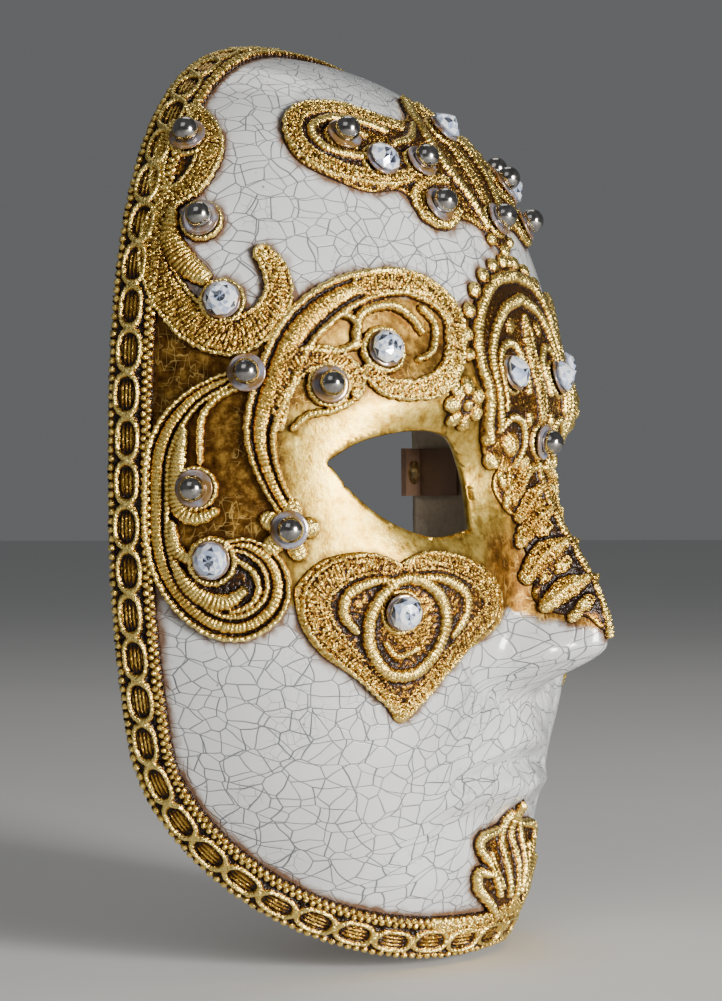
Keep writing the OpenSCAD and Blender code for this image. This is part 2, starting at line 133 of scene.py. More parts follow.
def unit(v):
    return v / np.maximum(np.linalg.norm(v, axis=-1, keepdims=True), 1e-9)


def tangents(c, step=0.3):
    """Tangents along a and b, taken towards the middle so that they hold at the rim."""
    c = np.asarray(c, float)
    here = face_at(c)
    ha = np.where(c[..., 0] > 0, -step, step)
    hb = np.where(c[..., 1] > 0, -step, step)
    ta = (face_at(c + np.stack([ha, 0 * ha], -1)) - here) / ha[..., None]
    tb = (face_at(c + np.stack([0 * hb, hb], -1)) - here) / hb[..., None]
    return here, ta, tb


def frame_at(c):
    """The point and the outward normal at each place on the chart."""
    here, ta, tb = tangents(c)
    n = unit(np.cross(tb, ta))
    return here, np.where(n[..., 1:2] > 0, -n, n)


def chart_offset(ta, tb, v):
    """The chart step that moves a point by the vector v along the face."""
    aa, ab, bb = (ta * ta).sum(-1), (ta * tb).sum(-1), (tb * tb).sum(-1)
    va, vb = (ta * v).sum(-1), (tb * v).sum(-1)
    det = aa * bb - ab * ab
    return np.stack([(va * bb - vb * ab) / det, (vb * aa - va * ab) / det], -1)


def level_axes(at):
    """A place's point, its tangents, and two unit axes that lie along the face."""
    here, ta, tb = tangents(at)
    ex = unit(ta)
    return here, ta, tb, ex, unit(tb - (tb @ ex) * ex)


def around(at, r, angles):
    """The chart places r mm from a place, at these angles round it."""
    _, ta, tb, ex, ey = level_axes(at)
    return [np.add(at, chart_offset(ta, tb, r * (math.cos(t) * ex + math.sin(t) * ey))) for t in angles]


def rim_rho(psi):
    """How far out the rim lies on the chart: nearer in below the jaw."""
    return 90 - 34 * ease((np.abs(np.degrees(psi)) - 127) / 53)


# ---- Curves ----

def spline(keys, closed=False, steps=10):
    """A smooth curve through the keys."""
    k = np.array(keys, float)
    n = len(k)
    out = []
    for i in range(n if closed else n - 1):
        if closed:
            a, b, c, d = k[i - 1], k[i], k[(i + 1) % n], k[(i + 2) % n]
        else:
            a, b, c, d = k[max(i - 1, 0)], k[i], k[i + 1], k[min(i + 2, n - 1)]
        t = np.arange(steps)[:, None] / steps
        out.append(0.5 * (2 * b + (c - a) * t + (2 * a - 5 * b + 4 * c - d) * t ** 2
                          + (3 * b - a - 3 * c + d) * t ** 3))
    out.append(k[:1] if closed else k[-1:])
    return np.concatenate(out)


class Stroke:
    """A path on the face, sampled evenly, with its width, length so far, tangent and side."""

    def __init__(self, keys, closed=False, step=0.45):
        s = spline(keys, closed)
        p = face_at(s[:, :2])
        run = np.concatenate([[0], np.cumsum(np.linalg.norm(np.diff(p, axis=0), axis=1))])
        self.u = np.linspace(0, run[-1], max(int(run[-1] / step), 3))
        self.c = np.stack([np.interp(self.u, run, s[:, i]) for i in (0, 1)], -1)
        self.w = np.interp(self.u, run, s[:, 2])
        self.p, n = frame_at(self.c)
        self.t = unit(np.gradient(self.p, axis=0))
        self.side = unit(np.cross(n, self.t))
        self.length = run[-1]


# ---- Cross-sections: height over (length along, offset across, width, height) ----

FOOT = 0.4                  # what a thread stands on
TWIST, STITCH, BEAD = 1.1, 1.02, 1.15       # lengths of a cord's turn, a stitch and a bead
ROPE = 0.72                 # half width of the thin cords along a stitched band
BROAD = 4.2                 # a stitched band wider than this has the thin cords


def dome(s, power=2.0):
    return np.maximum(1 - np.abs(s) ** power, 0) ** 0.5


def sway(u):
    """The unevenness of hand-laid thread along its length."""
    return 0.22 * np.sin(2.1 * u) + 0.13 * np.sin(5.3 * u + 1) + 0.3 * np.sin(0.7 * u)


def grooved(u, step, depth, phase=0.0, loose=0.4):
    """From 1 - depth in the grooves between a thread's turns to 1 on top of them."""
    return 1 - depth + depth * np.abs(np.sin(np.pi * (u + loose * sway(u)) / step + phase))


def chance(i, j):
    """An even-handed number from 0 to 1 for each pair of whole numbers."""
    return np.modf(np.abs(np.sin(i * 127.1 + j * 311.7) * 43758.5453))[0]


def stitches(u, lean=0.0):
    """How many stitches along the band a point is."""
    return (u + 0.5 * sway(u) + lean) / STITCH


def cord(u, v, w, h):
    s = 2 * v / w
    return FOOT + h * dome(s) * grooved(u, TWIST, 0.28, 0.35 * np.pi * s)


def satin(u, v, w, h):
    s = 2 * v / w
    return FOOT + h * dome(s, 2.4) * grooved(u, STITCH, 0.24, 0.5 * s)


def grainy(u, v, w, h):
    """A band of short stitches laid across it side by side, a broad one between two thin cords."""
    along = stitches(u, 0.25 * v)
    k = np.floor(along)
    across = v / 2.4 + 5 * chance(k, 3)
    m = np.floor(across)
    thread = np.sin(np.pi * (along - k)) ** 0.7 * (1 - np.abs(2 * (across - m) - 1) ** 6) ** 0.5
    body = FOOT + h * dome(2 * v / w, 5) * (0.50 + 0.46 * (0.4 + 0.6 * chance(k, m)) * thread)
    off = (w / 2 - 0.7 - np.abs(v)) / ROPE
    rope = 0.35 + 0.9 * h * dome(np.clip(off, -1, 1)) * grooved(u, TWIST, 0.34, off, 0.3)
    return np.where(w > BROAD, np.where(np.abs(off) < 1, rope, body), body + 0.1 * h * thread)


def scroll(u, v, w, h):
    """A lower satin strip between two beaded cords, with dark gaps."""
    edge = np.clip(0.24 * w, 1.1, 2.1)
    off = w / 2 - edge / 2 - np.abs(v)
    out = 0.3 + h * dome(np.clip(2 * off / edge, -1, 1)) * grooved(u, BEAD, 0.3, loose=0.3)
    inner = satin(u, v, np.maximum(w - 2.3 * edge, 0.1), 0.72 * h)
    return np.where(np.abs(v) > w / 2 - edge * 1.05, out, inner)


KINDS = {"cord": cord, "satin": satin, "grainy": grainy, "scroll": scroll}
KNOT = 1.1                  # size of the knots in rough thread
CHUNK = 4000                # points handled at once


def cell_bumps(x, y, size):
    """Round bumps on a jittered lattice, from 0 to 1."""
    gx, gy = np.floor(x / size), np.floor(y / size)
    best = np.full(x.shape, 9.0)
    for i in (-1, 0, 1):
        for j in (-1, 0, 1):
            cx, cy = gx + i, gy + j
            rx, ry = chance(cx, cy), chance(cy + 31, cx - 17)
            best = np.minimum(best, np.hypot((cx + rx) * size - x, (cy + ry) * size - y))
    return np.maximum(1 - (best / (0.62 * size)) ** 2, 0) ** 0.5


# ---- Lace: a height field over the face ----

LIP = 0.3                   # height of the lace's outline, and how steeply it falls to the shell
FALL = 4.0
SHOWN = -0.35               # what stays below this is left out
ROOT = 0.8                  # how deep the lace's side walls go below the shell's surface


class Lace:
    """Lace over the chart from a0 to a1 and b0 to b1: a height and a grain at each point of a grid."""

    def __init__(self, a0, a1, b0, b1):
        _, ta, tb = tangents(((a0 + a1) / 2, (b0 + b1) / 2))
        self.k = np.array([np.linalg.norm(ta), np.linalg.norm(tb)])
        self.a, self.b = np.arange(a0, a1, PITCH / self.k[0]), np.arange(b0, b1, PITCH / self.k[1])
        self.c = np.stack(np.meshgrid(self.a, self.b, indexing="ij"), -1)
        self.p, self.n = frame_at(self.c)
        self.h = np.full(self.c.shape[:2], SUNK)
        self.g = np.zeros(self.c.shape[:2])

    def block(self, lo, hi):
        """The stretch of the grid between two places."""
        ia = slice(*np.searchsorted(self.a, (lo[0], hi[0])))
        ib = slice(*np.searchsorted(self.b, (lo[1], hi[1])))
        return ia, ib

    def merge(self, block, top, outside, grain):
        """Lays heights over what is there; outside is how far past the shape's edge each point is."""
        old = self.h[block]
        top = np.where(outside > 0, LIP - FALL * outside, top).reshape(old.shape)
        self.g[block] = np.where(top > old, grain, self.g[block])
        self.h[block] = np.maximum(old, top)

    def lay(self, kind, keys, h=1.6, closed=False, grain=None):
        """Lays a cord or band along keys [a, b, width]; grain is how knotted its thread is."""
        grain = (0.75 if kind == "grainy" else 0.3) if grain is None else grain
        s = Stroke(keys, closed)
        pad = s.w.max() / 2 + 0.6
        block = self.block(s.c.min(0) - pad, s.c.max(0) + pad)
        p = self.p[block].reshape(-1, 3)
        if not len(p):
            return
        near = np.empty(len(p), int)
        for k in range(0, len(p), CHUNK):
            near[k:k + CHUNK] = ((p[k:k + CHUNK, None] - s.p[None]) ** 2).sum(-1).argmin(1)
        d = p - s.p[near]
        v = (d * s.side[near]).sum(-1)
        u = s.u[near] + (d * s.t[near]).sum(-1)
        if not closed:
            over = np.maximum(np.maximum(-u, u - s.length), 0)
            v = np.hypot(v, over) * np.where(v < 0, -1, 1)
        w = s.w[near] + 0.22 * np.sin(2.7 * u + 0.8 * np.sin(1.1 * u))
        if kind == "grainy":
            # The stitches end unevenly
            w = w + 0.5 * (chance(np.floor(stitches(u)), 7) - 0.5)
        top = KINDS[kind](u, v, w, h)
        top = top + 0.36 * grain * (cell_bumps(u, 0.6 * v, KNOT) - 0.5) * dome(2 * v / w, 4)
        self.merge(block, top, np.abs(v) - w / 2, grain)

    def both(self, kind, keys, *rest, **named):
        """Lays a cord or band and its mirror image."""
        self.lay(kind, keys, *rest, **named)
        self.lay(kind, [(-k[0],) + tuple(k[1:]) for k in keys], *rest, **named)

    def knot(self, at, r, h=1.8, turn=0.0, stretch=1.0, ribs=0.25, grain=0.35):
        """A pad of radius r, stretched along the direction turn in degrees and ribbed across it."""
        at = np.array(at, float)
        here, _, _, ex, ey = level_axes(at)
        reach = 1.1 * r * stretch
        block = self.block(at - reach, at + reach)
        d = self.p[block] - here
        c, s = math.cos(math.radians(turn)), math.sin(math.radians(turn))
        x, y = d @ (c * ex + s * ey), d @ (c * ey - s * ex)
        rr = np.hypot(x / stretch, y)
        rib = 1 - ribs * (1 - np.abs(np.sin(np.pi * (x + 0.12 * y * y))))
        rough = 0.6 * grain * (cell_bumps(x, y, 0.9) - 0.5) * (rr < r)
        self.merge(block, 0.35 + h * dome(np.clip(rr / r, 0, 1)) * rib + rough, rr - r, grain)

    def pair(self, at, r, h=1.8, turn=0.0, stretch=1.0, **named):
        """A knot and its mirror image."""
        self.knot(at, r, h, turn, stretch, **named)
        self.knot((-at[0], at[1]), r, h, 180 - turn, stretch, **named)

    def ring(self, at, r, w, h=1.6):
        """A round cord of radius r about a point."""
        places = around(at, r, np.linspace(0, 2 * math.pi, 12, endpoint=False))
        self.lay("cord", [tuple(c) + (w,) for c in places], h, closed=True)

    def flower(self, at, count, out, r, h=1.9, turn=0.0):
        """Ribbed petals round a bead; out is how far their middles lie from it."""
        angles = [math.radians(turn) + 2 * math.pi * i / count for i in range(count)]
        for t, spot in zip(angles, around(at, out, angles)):
            self.knot(spot, r, h, math.degrees(t), 1.25)
        self.knot(at, 0.75 * r, h + 0.3)

    def fill(self, outline, h, grain):
        """A low knotted ground inside an outline, or inside a half outline and its mirror image."""
        if outline[0][0] == 0 and outline[-1][0] == 0:
            outline = outline + [(-a, b) for a, b in outline[-2:0:-1]]
        edge = spline(outline, True, 6)
        block = self.block(edge.min(0) - 1, edge.max(0) + 1)
        c = self.c[block] * self.k
        d = signed_distance(c, edge * self.k)
        knots = cell_bumps(c[..., 0], c[..., 1], KNOT)
        self.merge(block, LIP + (h + grain * (knots - 0.5)) * dome(np.clip(1 + d / 1.2, 0, 1), 3), d, grain)

    def build(self, name, mirror=False):
        """The mesh: the raised quads, and walls down from their outline."""
        h = np.maximum(self.h, SUNK)
        quad = np.maximum.reduce([h[:-1, :-1], h[1:, :-1], h[1:, 1:], h[:-1, 1:]]) > SHOWN
        ids = np.arange(h.size).reshape(h.shape)
        i, j = np.nonzero(quad)
        faces = np.stack([ids[i, j], ids[i, j + 1], ids[i + 1, j + 1], ids[i + 1, j]], -1)
        v0, v1 = open_edges(faces).T
        faces = np.concatenate([faces, np.stack([v1, v0, v0 + h.size, v1 + h.size], -1)])
        top, foot = self.p + self.n * h[..., None], self.p - ROOT * self.n
        points = np.concatenate([top.reshape(-1, 3), foot.reshape(-1, 3)])
        # Painted shade: the tops darken in their grooves and low parts, and the side walls take the darkest
        # value.
        shade = np.concatenate([ridges(h, 0.8).ravel(), np.full(h.size, -1.0)])
        used, back = np.unique(faces, return_inverse=True)
        points, faces = points[used], back.reshape(faces.shape)
        if mirror:
            points, faces = points * (-1, 1, 1), faces[:, ::-1]
        grain = np.tile(self.g.ravel(), 2)[used]
        return mesh(name, points, faces, [lace_gold], {"ridge_shade": shade[used], "grain": grain})

    def footprint(self):
        """Some of the points that the lace covers."""
        return self.p[self.h > 0.2][::6]


def ridges(h, middle):
    """How far each point stands above what is round it, for painted shade: dark grooves and low parts
    against bright tops.
    """
    low = np.maximum(h, -0.2)
    soft = low
    for _ in range(2):
        for axis in (0, 1):
            soft = sum(np.roll(soft, s, axis) for s in (-4, -2, 0, 2, 4)) / 5
    return np.clip((low - soft) * 1.3 + np.clip(low - middle, -1, 0.6) * 0.35, -1, 1)


def signed_distance(c, loop):
    """Distance to a closed polygon, negative inside."""
    flat = c.reshape(-1, 2)
    best = np.full(len(flat), 1e9)
    odd = np.zeros(len(flat), bool)
    for (x0, y0), (x1, y1) in zip(loop, np.roll(loop, -1, 0)):
        e = np.array([x1 - x0, y1 - y0])
        t = np.clip(((flat - (x0, y0)) @ e) / max(e @ e, 1e-12), 0, 1)
        best = np.minimum(best, np.hypot(flat[:, 0] - x0 - t * e[0], flat[:, 1] - y0 - t * e[1]))
        cross = (y0 > flat[:, 1]) != (y1 > flat[:, 1])
        with np.errstate(divide="ignore", invalid="ignore"):
            odd ^= cross & (flat[:, 0] < (x1 - x0) * (flat[:, 1] - y0) / (y1 - y0) + x0)
    return np.where(odd, -best, best).reshape(c.shape[:-1])


# ---- Meshes ----

def open_edges(quads):
    """The edges that only one quad has, in that quad's direction."""
    edges = np.concatenate([quads[:, (i, (i + 1) % 4)] for i in range(4)])
    key = edges.min(1) * (quads.max() + 1) + edges.max(1)
    _, first, counts = np.unique(key, return_index=True, return_counts=True)
    return edges[first[counts == 1]]


def mesh(name, points, faces, materials, values=None, slots=None, smooth=True):
    """A mesh object from points in mm and an array of quads, or a list of faces of any size."""
    me = bpy.data.meshes.new(name)
    points = np.asarray(points, float) * MM
    me.vertices.add(len(points))
    me.vertices.foreach_set("co", points.ravel())
    if isinstance(faces, np.ndarray):
        sizes = np.full(len(faces), faces.shape[1])
        flat = faces.ravel()
    else:
        sizes = np.array([len(f) for f in faces])
        flat = np.array([v for f in faces for v in f])
    me.loops.add(len(flat))
    me.loops.foreach_set("vertex_index", flat.astype(np.int32))
    me.polygons.add(len(sizes))
    me.polygons.foreach_set("loop_start", (np.cumsum(sizes) - sizes).astype(np.int32))
    me.polygons.foreach_set("use_smooth", np.full(len(sizes), smooth))
    for m in materials:
        me.materials.append(m)
    if slots is not None:
        me.polygons.foreach_set("material_index", np.asarray(slots, np.int32))
    for key, data in (values or {}).items():
        data = np.asarray(data, np.float32)
        if data.ndim == 2:
            me.attributes.new(key, "FLOAT_VECTOR", "POINT").data.foreach_set("vector", data.ravel())
        else:
            me.attributes.new(key, "FLOAT", "POINT").data.foreach_set("value", data)
    me.update(calc_edges=True)
    me.validate()
    o = bpy.data.objects.new(name, me)
    bpy.context.scene.collection.objects.link(o)
    return o


def finish_piece(o, slot, *nodes):
    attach(o, "root")
    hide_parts(*nodes)


# ---- Materials ----

class Shader:
    """A small helper round a material's node tree."""

    def __init__(self, name):
        self.m = bpy.data.materials.new(name)
        self.m.use_nodes = True
        self.t = self.m.node_tree
        self.bsdf = self.t.nodes["Principled BSDF"]
        self.coord = self.t.nodes.new("ShaderNodeTexCoord").outputs["Object"]

    def put(self, node, key, value):
        socket = node.inputs[key]
        if isinstance(value, bpy.types.NodeSocket):
            self.t.links.new(value, socket)
        else:
            socket.default_value = value

    def node(self, kind, out=0, inputs=None, **props):
        n = self.t.nodes.new(kind)
        for k, v in props.items():
            setattr(n, k, v)
        for k, v in (inputs or {}).items():
            self.put(n, k, v)
        return n.outputs[out]

    def set(self, **values):
        for k, v in values.items():
            self.put(self.bsdf, k.replace("_", " "), v)

    def attribute(self, name):
        return self.node("ShaderNodeAttribute", "Fac", attribute_name=name)

    def math(self, op, a, b=0.0):
        return self.node("ShaderNodeMath", 0, {0: a, 1: b}, operation=op)

    def plus(self, a, b):
        return self.math("ADD", a, b)

    def times(self, a, b):
        return self.math("MULTIPLY", a, b)

    def swing(self, value, amount):
        """A value about a half as one about 0, amount times as large."""
        return self.times(self.math("SUBTRACT", value, 0.5), amount)

    def noise(self, scale, detail=3.0, rough=0.55, at=None):
        inputs = {"Vector": at or self.coord, "Scale": scale, "Detail": detail, "Roughness": rough}
        return self.node("ShaderNodeTexNoise", 0, inputs)

    def cells(self, at, scale, out="Distance", **props):
        return self.node("ShaderNodeTexVoronoi", out, {"Vector": at, "Scale": scale}, **props)

    def warp(self, place, by, scale, detail, reach, middle=0.0):
        """A place moved by the noise at by: reach metres for each unit of it over its middle."""
        noise = self.node("ShaderNodeTexNoise", "Color", {"Vector": by, "Scale": scale, "Detail": detail})
        bend = self.node("ShaderNodeVectorMath", 0, {0: noise, 1: (middle,) * 3}, operation="SUBTRACT")
        bend = self.node("ShaderNodeVectorMath", 0, {0: bend, "Scale": reach}, operation="SCALE")
        return self.node("ShaderNodeVectorMath", 0, {0: place, 1: bend}, operation="ADD")

    def stretch(self, x, y, z):
        return self.node("ShaderNodeMapping", 0, {"Vector": self.coord, "Scale": (x, y, z)})

    def band(self, value, low, high):
        """0 below low and 1 above high; falling if low is the larger."""
        inputs = {"Value": value, "From Min": low, "From Max": high}
        return self.node("ShaderNodeMapRange", 0, inputs, clamp=True)

    def ramp(self, value, *stops):
        n = self.t.nodes.new("ShaderNodeValToRGB")
        self.t.links.new(value, n.inputs[0])
        while len(n.color_ramp.elements) < len(stops):
            n.color_ramp.elements.new(0.5)
        for e, (at, colour) in zip(n.color_ramp.elements, stops):
            e.position = at
            e.color = tuple(colour) + (1,)
        return n.outputs[0]

    def mix(self, factor, a, b):
        n = self.t.nodes.new("ShaderNodeMix")
        n.data_type = "RGBA"
        self.put(n, 0, factor)
        for i, v in ((6, a), (7, b)):
            self.put(n, i, v if isinstance(v, bpy.types.NodeSocket) else tuple(v) + (1,))
        return n.outputs[2]

    def bump(self, height, strength, distance, normal=None):
        inputs = {"Height": height, "Strength": strength, "Distance": distance}
        if normal:
            inputs["Normal"] = normal
        return self.node("ShaderNodeBump", 0, inputs)


def gold_thread(name, lift):
    """Antique gold embroidery: bright worn stitches, with painted shade that darkens the grooves between
    them to brown.
    """
    s = Shader(name)
    gap = s.cells(s.warp(s.coord, s.coord, 500.0, 1.0, 0.0006), 1400.0)
    stitch = s.band(gap, 0.62, 0.12)
    knotted = s.times(s.attribute("grain"), s.math("SUBTRACT", stitch, 0.5))
    blot, fine = s.noise(75, 4), s.noise(1900, 3, 0.65)
    # Painted shade: darker in the lace's grooves and low parts, with blotches, knots and fine grain of the
    # thread added on
    wear_and_shade = s.plus(s.attribute("ridge_shade"), s.swing(blot, 0.6))
    wear_and_shade = s.plus(wear_and_shade, s.times(knotted, 0.35))
    wear_and_shade = s.plus(wear_and_shade, s.swing(fine, 0.35))
    level = s.band(s.plus(wear_and_shade, lift), -0.44, 0.74)
    # From near-black painted shade in the deepest grooves to bright gold on the tops
    colour = s.ramp(level, (0.0, (0.014, 0.005, 0.0015)), (0.22, (0.085, 0.033, 0.007)),
                    (0.42, (0.29, 0.138, 0.024)), (0.66, (0.74, 0.45, 0.075)), (1.0, (1.0, 0.76, 0.23)))
    s.set(Base_Color=colour, Metallic=s.band(level, -0.1, 0.3), Roughness=s.band(fine, -0.05, 2.2))
    normal = s.bump(knotted, 0.7, 0.0005)
    s.set(Normal=s.bump(fine, 0.5, 0.0003, normal))
    return s.m


def crackle_shell():
    """Off-white paint under crackled varnish, gold leaf round the eyes, brown glue stains by the trim."""
    s = Shader("shell_crackle")
    flat = s.node("ShaderNodeAttribute", "Vector", attribute_name="spread")
    at = s.warp(flat, flat, 95.0, 1.0, 0.0045, 0.5)
    long = s.node("ShaderNodeMapping", 0, {"Vector": at, "Scale": (1, 1.5, 1), "Location": (0.3, 0.7, 0)})
    lines = []
    for vector, scale, width in ((long, 102.0, 0.0145), (at, 178.0, 0.023), (at, 340.0, 0.028)):
        edge = s.cells(vector, scale, feature="DISTANCE_TO_EDGE", voronoi_dimensions="2D")
        lines.append(s.band(edge, 1.9 * width, 0.5 * width))
    patch = s.noise(55, 2)
    hair = s.times(lines[2], s.times(s.band(patch, 0.52, 0.60), 0.55))
    fine = s.times(lines[1], s.band(patch, -0.3, 0.62))
    crack = s.math("MAXIMUM", s.math("MAXIMUM", s.times(lines[0], 0.95), fine), hair)
    paint = s.mix(s.band(s.noise(22, 4), 0.35, 0.7), (0.56, 0.57, 0.565), (0.68, 0.695, 0.695))
    paint = s.mix(s.times(s.band(s.noise(8, 3), 0.5, 0.75), 0.45), paint, (0.63, 0.59, 0.50))
    speck = s.cells(s.coord, 165.0)
    paint = s.mix(s.times(s.band(speck, 0.075, 0.04), 0.7), paint, (0.16, 0.09, 0.03))
    paint = s.mix(crack, paint, (0.07, 0.078, 0.09))
    glue = s.plus(s.attribute("stain"), s.swing(s.noise(260, 4), 1.1))
    paint = s.mix(s.times(s.band(glue, 0.32, 0.95), 0.95), paint, (0.13, 0.055, 0.016))

    marks = []
    for turn, at in ((0, s.stretch(1, 1, 0.35)), (1, s.stretch(1, 0.4, 1.3))):
        n = s.noise(420, 1, 0.5, at)
        marks.append(s.band(s.math("ABSOLUTE", s.math("SUBTRACT", n, 0.5 + 0.02 * turn)), 0.018, 0.004))
    scratch = s.times(s.math("MAXIMUM", *marks), s.band(s.noise(90, 2), 0.42, 0.56))
    leaf = s.noise(330, 6, 0.72)
    bright = s.ramp(leaf, (0.3, (0.22, 0.10, 0.012)), (0.46, (0.54, 0.34, 0.055)),
                    (0.68, (0.86, 0.64, 0.17)))
    dark = s.ramp(leaf, (0.33, (0.04, 0.015, 0.003)), (0.5, (0.155, 0.068, 0.011)),
                  (0.7, (0.50, 0.28, 0.045)))
    dark = s.mix(s.times(scratch, 0.85), dark, (0.70, 0.45, 0.12))
    shade = s.plus(s.attribute("shade"), s.swing(s.noise(60, 4), 0.6))
    gold = s.mix(s.band(shade, 0.25, 0.85), bright, dark)
    gold = s.mix(s.times(s.band(glue, 0.5, 1.1), 0.85), gold, (0.075, 0.030, 0.008))
    edge = s.plus(s.attribute("gild"), s.swing(s.noise(170, 5, 0.65), 3.2))
    gild = s.band(edge, -0.4, 0.5)
    s.set(Base_Color=s.mix(gild, paint, gold), Metallic=s.times(gild, 0.95))
    bare = s.math("SUBTRACT", 1.0, gild)
    groove = s.times(s.times(crack, -1.0), bare)
    rough = s.math("SUBTRACT", s.band(s.noise(45, 3), -0.2, 3.4), s.times(groove, 0.3))
    dull = s.plus(s.band(leaf, -0.1, 3.6), s.times(s.band(shade, 0.25, 0.85), 0.12))
    s.set(Roughness=s.plus(rough, s.times(gild, dull)))
    s.set(Coat_Weight=s.times(bare, 0.55), Coat_Roughness=0.08)
    normal = s.bump(groove, 0.35, 0.0003)
    normal = s.bump(s.noise(120, 4), 0.12, 0.0008, normal)
    s.set(Normal=s.bump(s.times(gild, s.noise(900, 4, 0.7)), 0.3, 0.0003, normal))
    return s.m


def raw_paper():
    """The inside: torn strips of grey-brown paper under thin glue."""
    s = Shader("shell_inside")
    torn = s.warp(s.stretch(1, 1, 0.5), s.coord, 70.0, 4.0, 0.016)
    tone = s.node("ShaderNodeSeparateColor", 0, {0: s.cells(torn, 42.0, "Color")})
    edge = s.cells(torn, 42.0, feature="DISTANCE_TO_EDGE")
    fibre = s.noise(900, 4, 0.7)
    base = s.mix(tone, (0.34, 0.27, 0.185), (0.52, 0.435, 0.32))
    base = s.mix(s.times(s.band(fibre, 0.45, 0.7), 0.5), base, (0.22, 0.165, 0.11))
    base = s.mix(s.times(s.band(edge, 0.04, 0.0), 0.3), base, (0.20, 0.145, 0.09))
    s.set(Base_Color=base, Roughness=s.band(fibre, -1.2, 1.0))
    normal = s.bump(tone, 0.5, 0.0006)
    s.set(Normal=s.bump(fibre, 0.35, 0.0003, normal))
    return s.m


def crystal_facet(name, low, high):
    """Foil-backed cut glass drawn as an opaque facet under a clear polish: its colour stands in for the
    light the glass shows, as painted highlight, blue tint and reflection, or painted dark reflection.
    """
    s = Shader(name)
    age = s.noise(700, 3)
    s.set(Base_Color=s.ramp(age, (0.35, low), (0.62, high)), Metallic=0.25, Roughness=s.band(age, 0.1, 5.0))
    s.set(Coat_Weight=1.0, Coat_Roughness=0.03)
    return s.m


def dark_chrome():
    s = Shader("dome_chrome")
    haze = s.noise(650, 4)
    s.set(Base_Color=s.ramp(haze, (0.35, (0.26, 0.245, 0.23)), (0.65, (0.44, 0.42, 0.395))), Metallic=1.0)
    s.set(Roughness=s.band(haze, -0.1, 3.6), Normal=s.bump(s.noise(900, 2), 0.05, 0.0002))
    return s.m


def clear_disc():
    """Clear glue over the gold below, browner at its rim, drawn opaque: brown where the gold shows through,
    blue-grey for the glue's tint and painted sheen.
    """
    s = Shader("disc_clear")
    spots, broad = s.noise(520, 4), s.noise(240, 2)
    stain = s.plus(s.attribute("rim"), s.swing(spots, 0.9))
    # Painted reflection in part: the blue-grey patches stand for the glue's tint and sheen
    clear = s.mix(s.band(broad, 0.40, 0.62), (0.30, 0.17, 0.05), (0.34, 0.36, 0.45))
    s.set(Base_Color=s.mix(s.band(stain, 0.75, 1.15), clear, (0.20, 0.085, 0.018)))
    s.set(Roughness=s.band(spots, 0.1, 3.0), Metallic=0.45, Coat_Weight=1.0, Coat_Roughness=0.05)
    return s.m


def tab_leather():
    s = Shader("tab_leather")
    grain = s.cells(s.coord, 1100.0)
    tone = s.noise(160, 4)
    s.set(Base_Color=s.mix(tone, (0.055, 0.028, 0.015), (0.15, 0.08, 0.042)))
    s.set(Roughness=s.band(tone, -0.6, 1.1), Normal=s.bump(grain, 0.3, 0.0002))
    return s.m


def eyelet_brass():
    s = Shader("eyelet_brass")
    wear = s.noise(500, 4)
    s.set(Base_Color=s.ramp(wear, (0.3, (0.30, 0.18, 0.06)), (0.6, (0.72, 0.54, 0.26))), Metallic=1.0)
    s.set(Roughness=s.band(wear, -0.2, 1.8), Normal=s.bump(wear, 0.08, 0.0002))
    return s.m


lace_gold = gold_thread("lace_gold", 0.06)
braid_gold = gold_thread("braid_gold", 0.04)
shell_out, shell_in = crackle_shell(), raw_paper()
chrome, disc_mat = dark_chrome(), clear_disc()
# The facets' colours are painted light: white for painted highlights, blue for the glass's tint and
# reflection, near-black for painted dark reflections
facets = [crystal_facet("facet_painted_highlight", (0.80, 0.86, 0.97), (1.0, 1.0, 1.0)),
          crystal_facet("facet_blue", (0.30, 0.38, 0.58), (0.55, 0.63, 0.82)),
          crystal_facet("facet_painted_dark", (0.02, 0.025, 0.035), (0.09, 0.10, 0.13))]
leather, brass = tab_leather(), eyelet_brass()


# ---- The lace pieces; the side ones are drawn on the +X side ----

def temple_scroll_upper():
    k = Lace(38, 73, 26, 74)
    k.fill([(45, 69), (49, 67.5), (53.5, 64.5), (53.5, 60.5), (49.5, 60.5), (46, 64)], 0.1, 0.3)
    k.lay("grainy", [(43.3, 70.5, 4.5), (44, 66, 6), (45.8, 61.8, 7), (50, 58.8, 7), (54.5, 57.8, 6.5),
                     (58, 59, 5.5), (57, 63, 5), (52.5, 67.5, 4), (48, 70.5, 3)], 1.7)
    k.lay("grainy", [(57.5, 57.5, 5), (62.5, 55.5, 7), (66.2, 50, 8.5), (67, 43, 9.5), (65, 36, 10),
                     (60.3, 32, 9.5), (54, 32.6, 8.5), (49, 35.4, 7.5), (47.4, 39, 6.5),
                     (48, 42, 5)], 1.8)
    k.lay("satin", [(58.5, 55.8, 3), (61.5, 52, 6), (61.7, 47, 6.8), (60, 43.2, 5)], 2.1, grain=0.45)
    k.ring((48, 65.5), 4.6, 1.3)
    k.ring((55, 51.5), 4.7, 1.3)
    k.ring((58.8, 38), 5.0, 1.5)
    return k


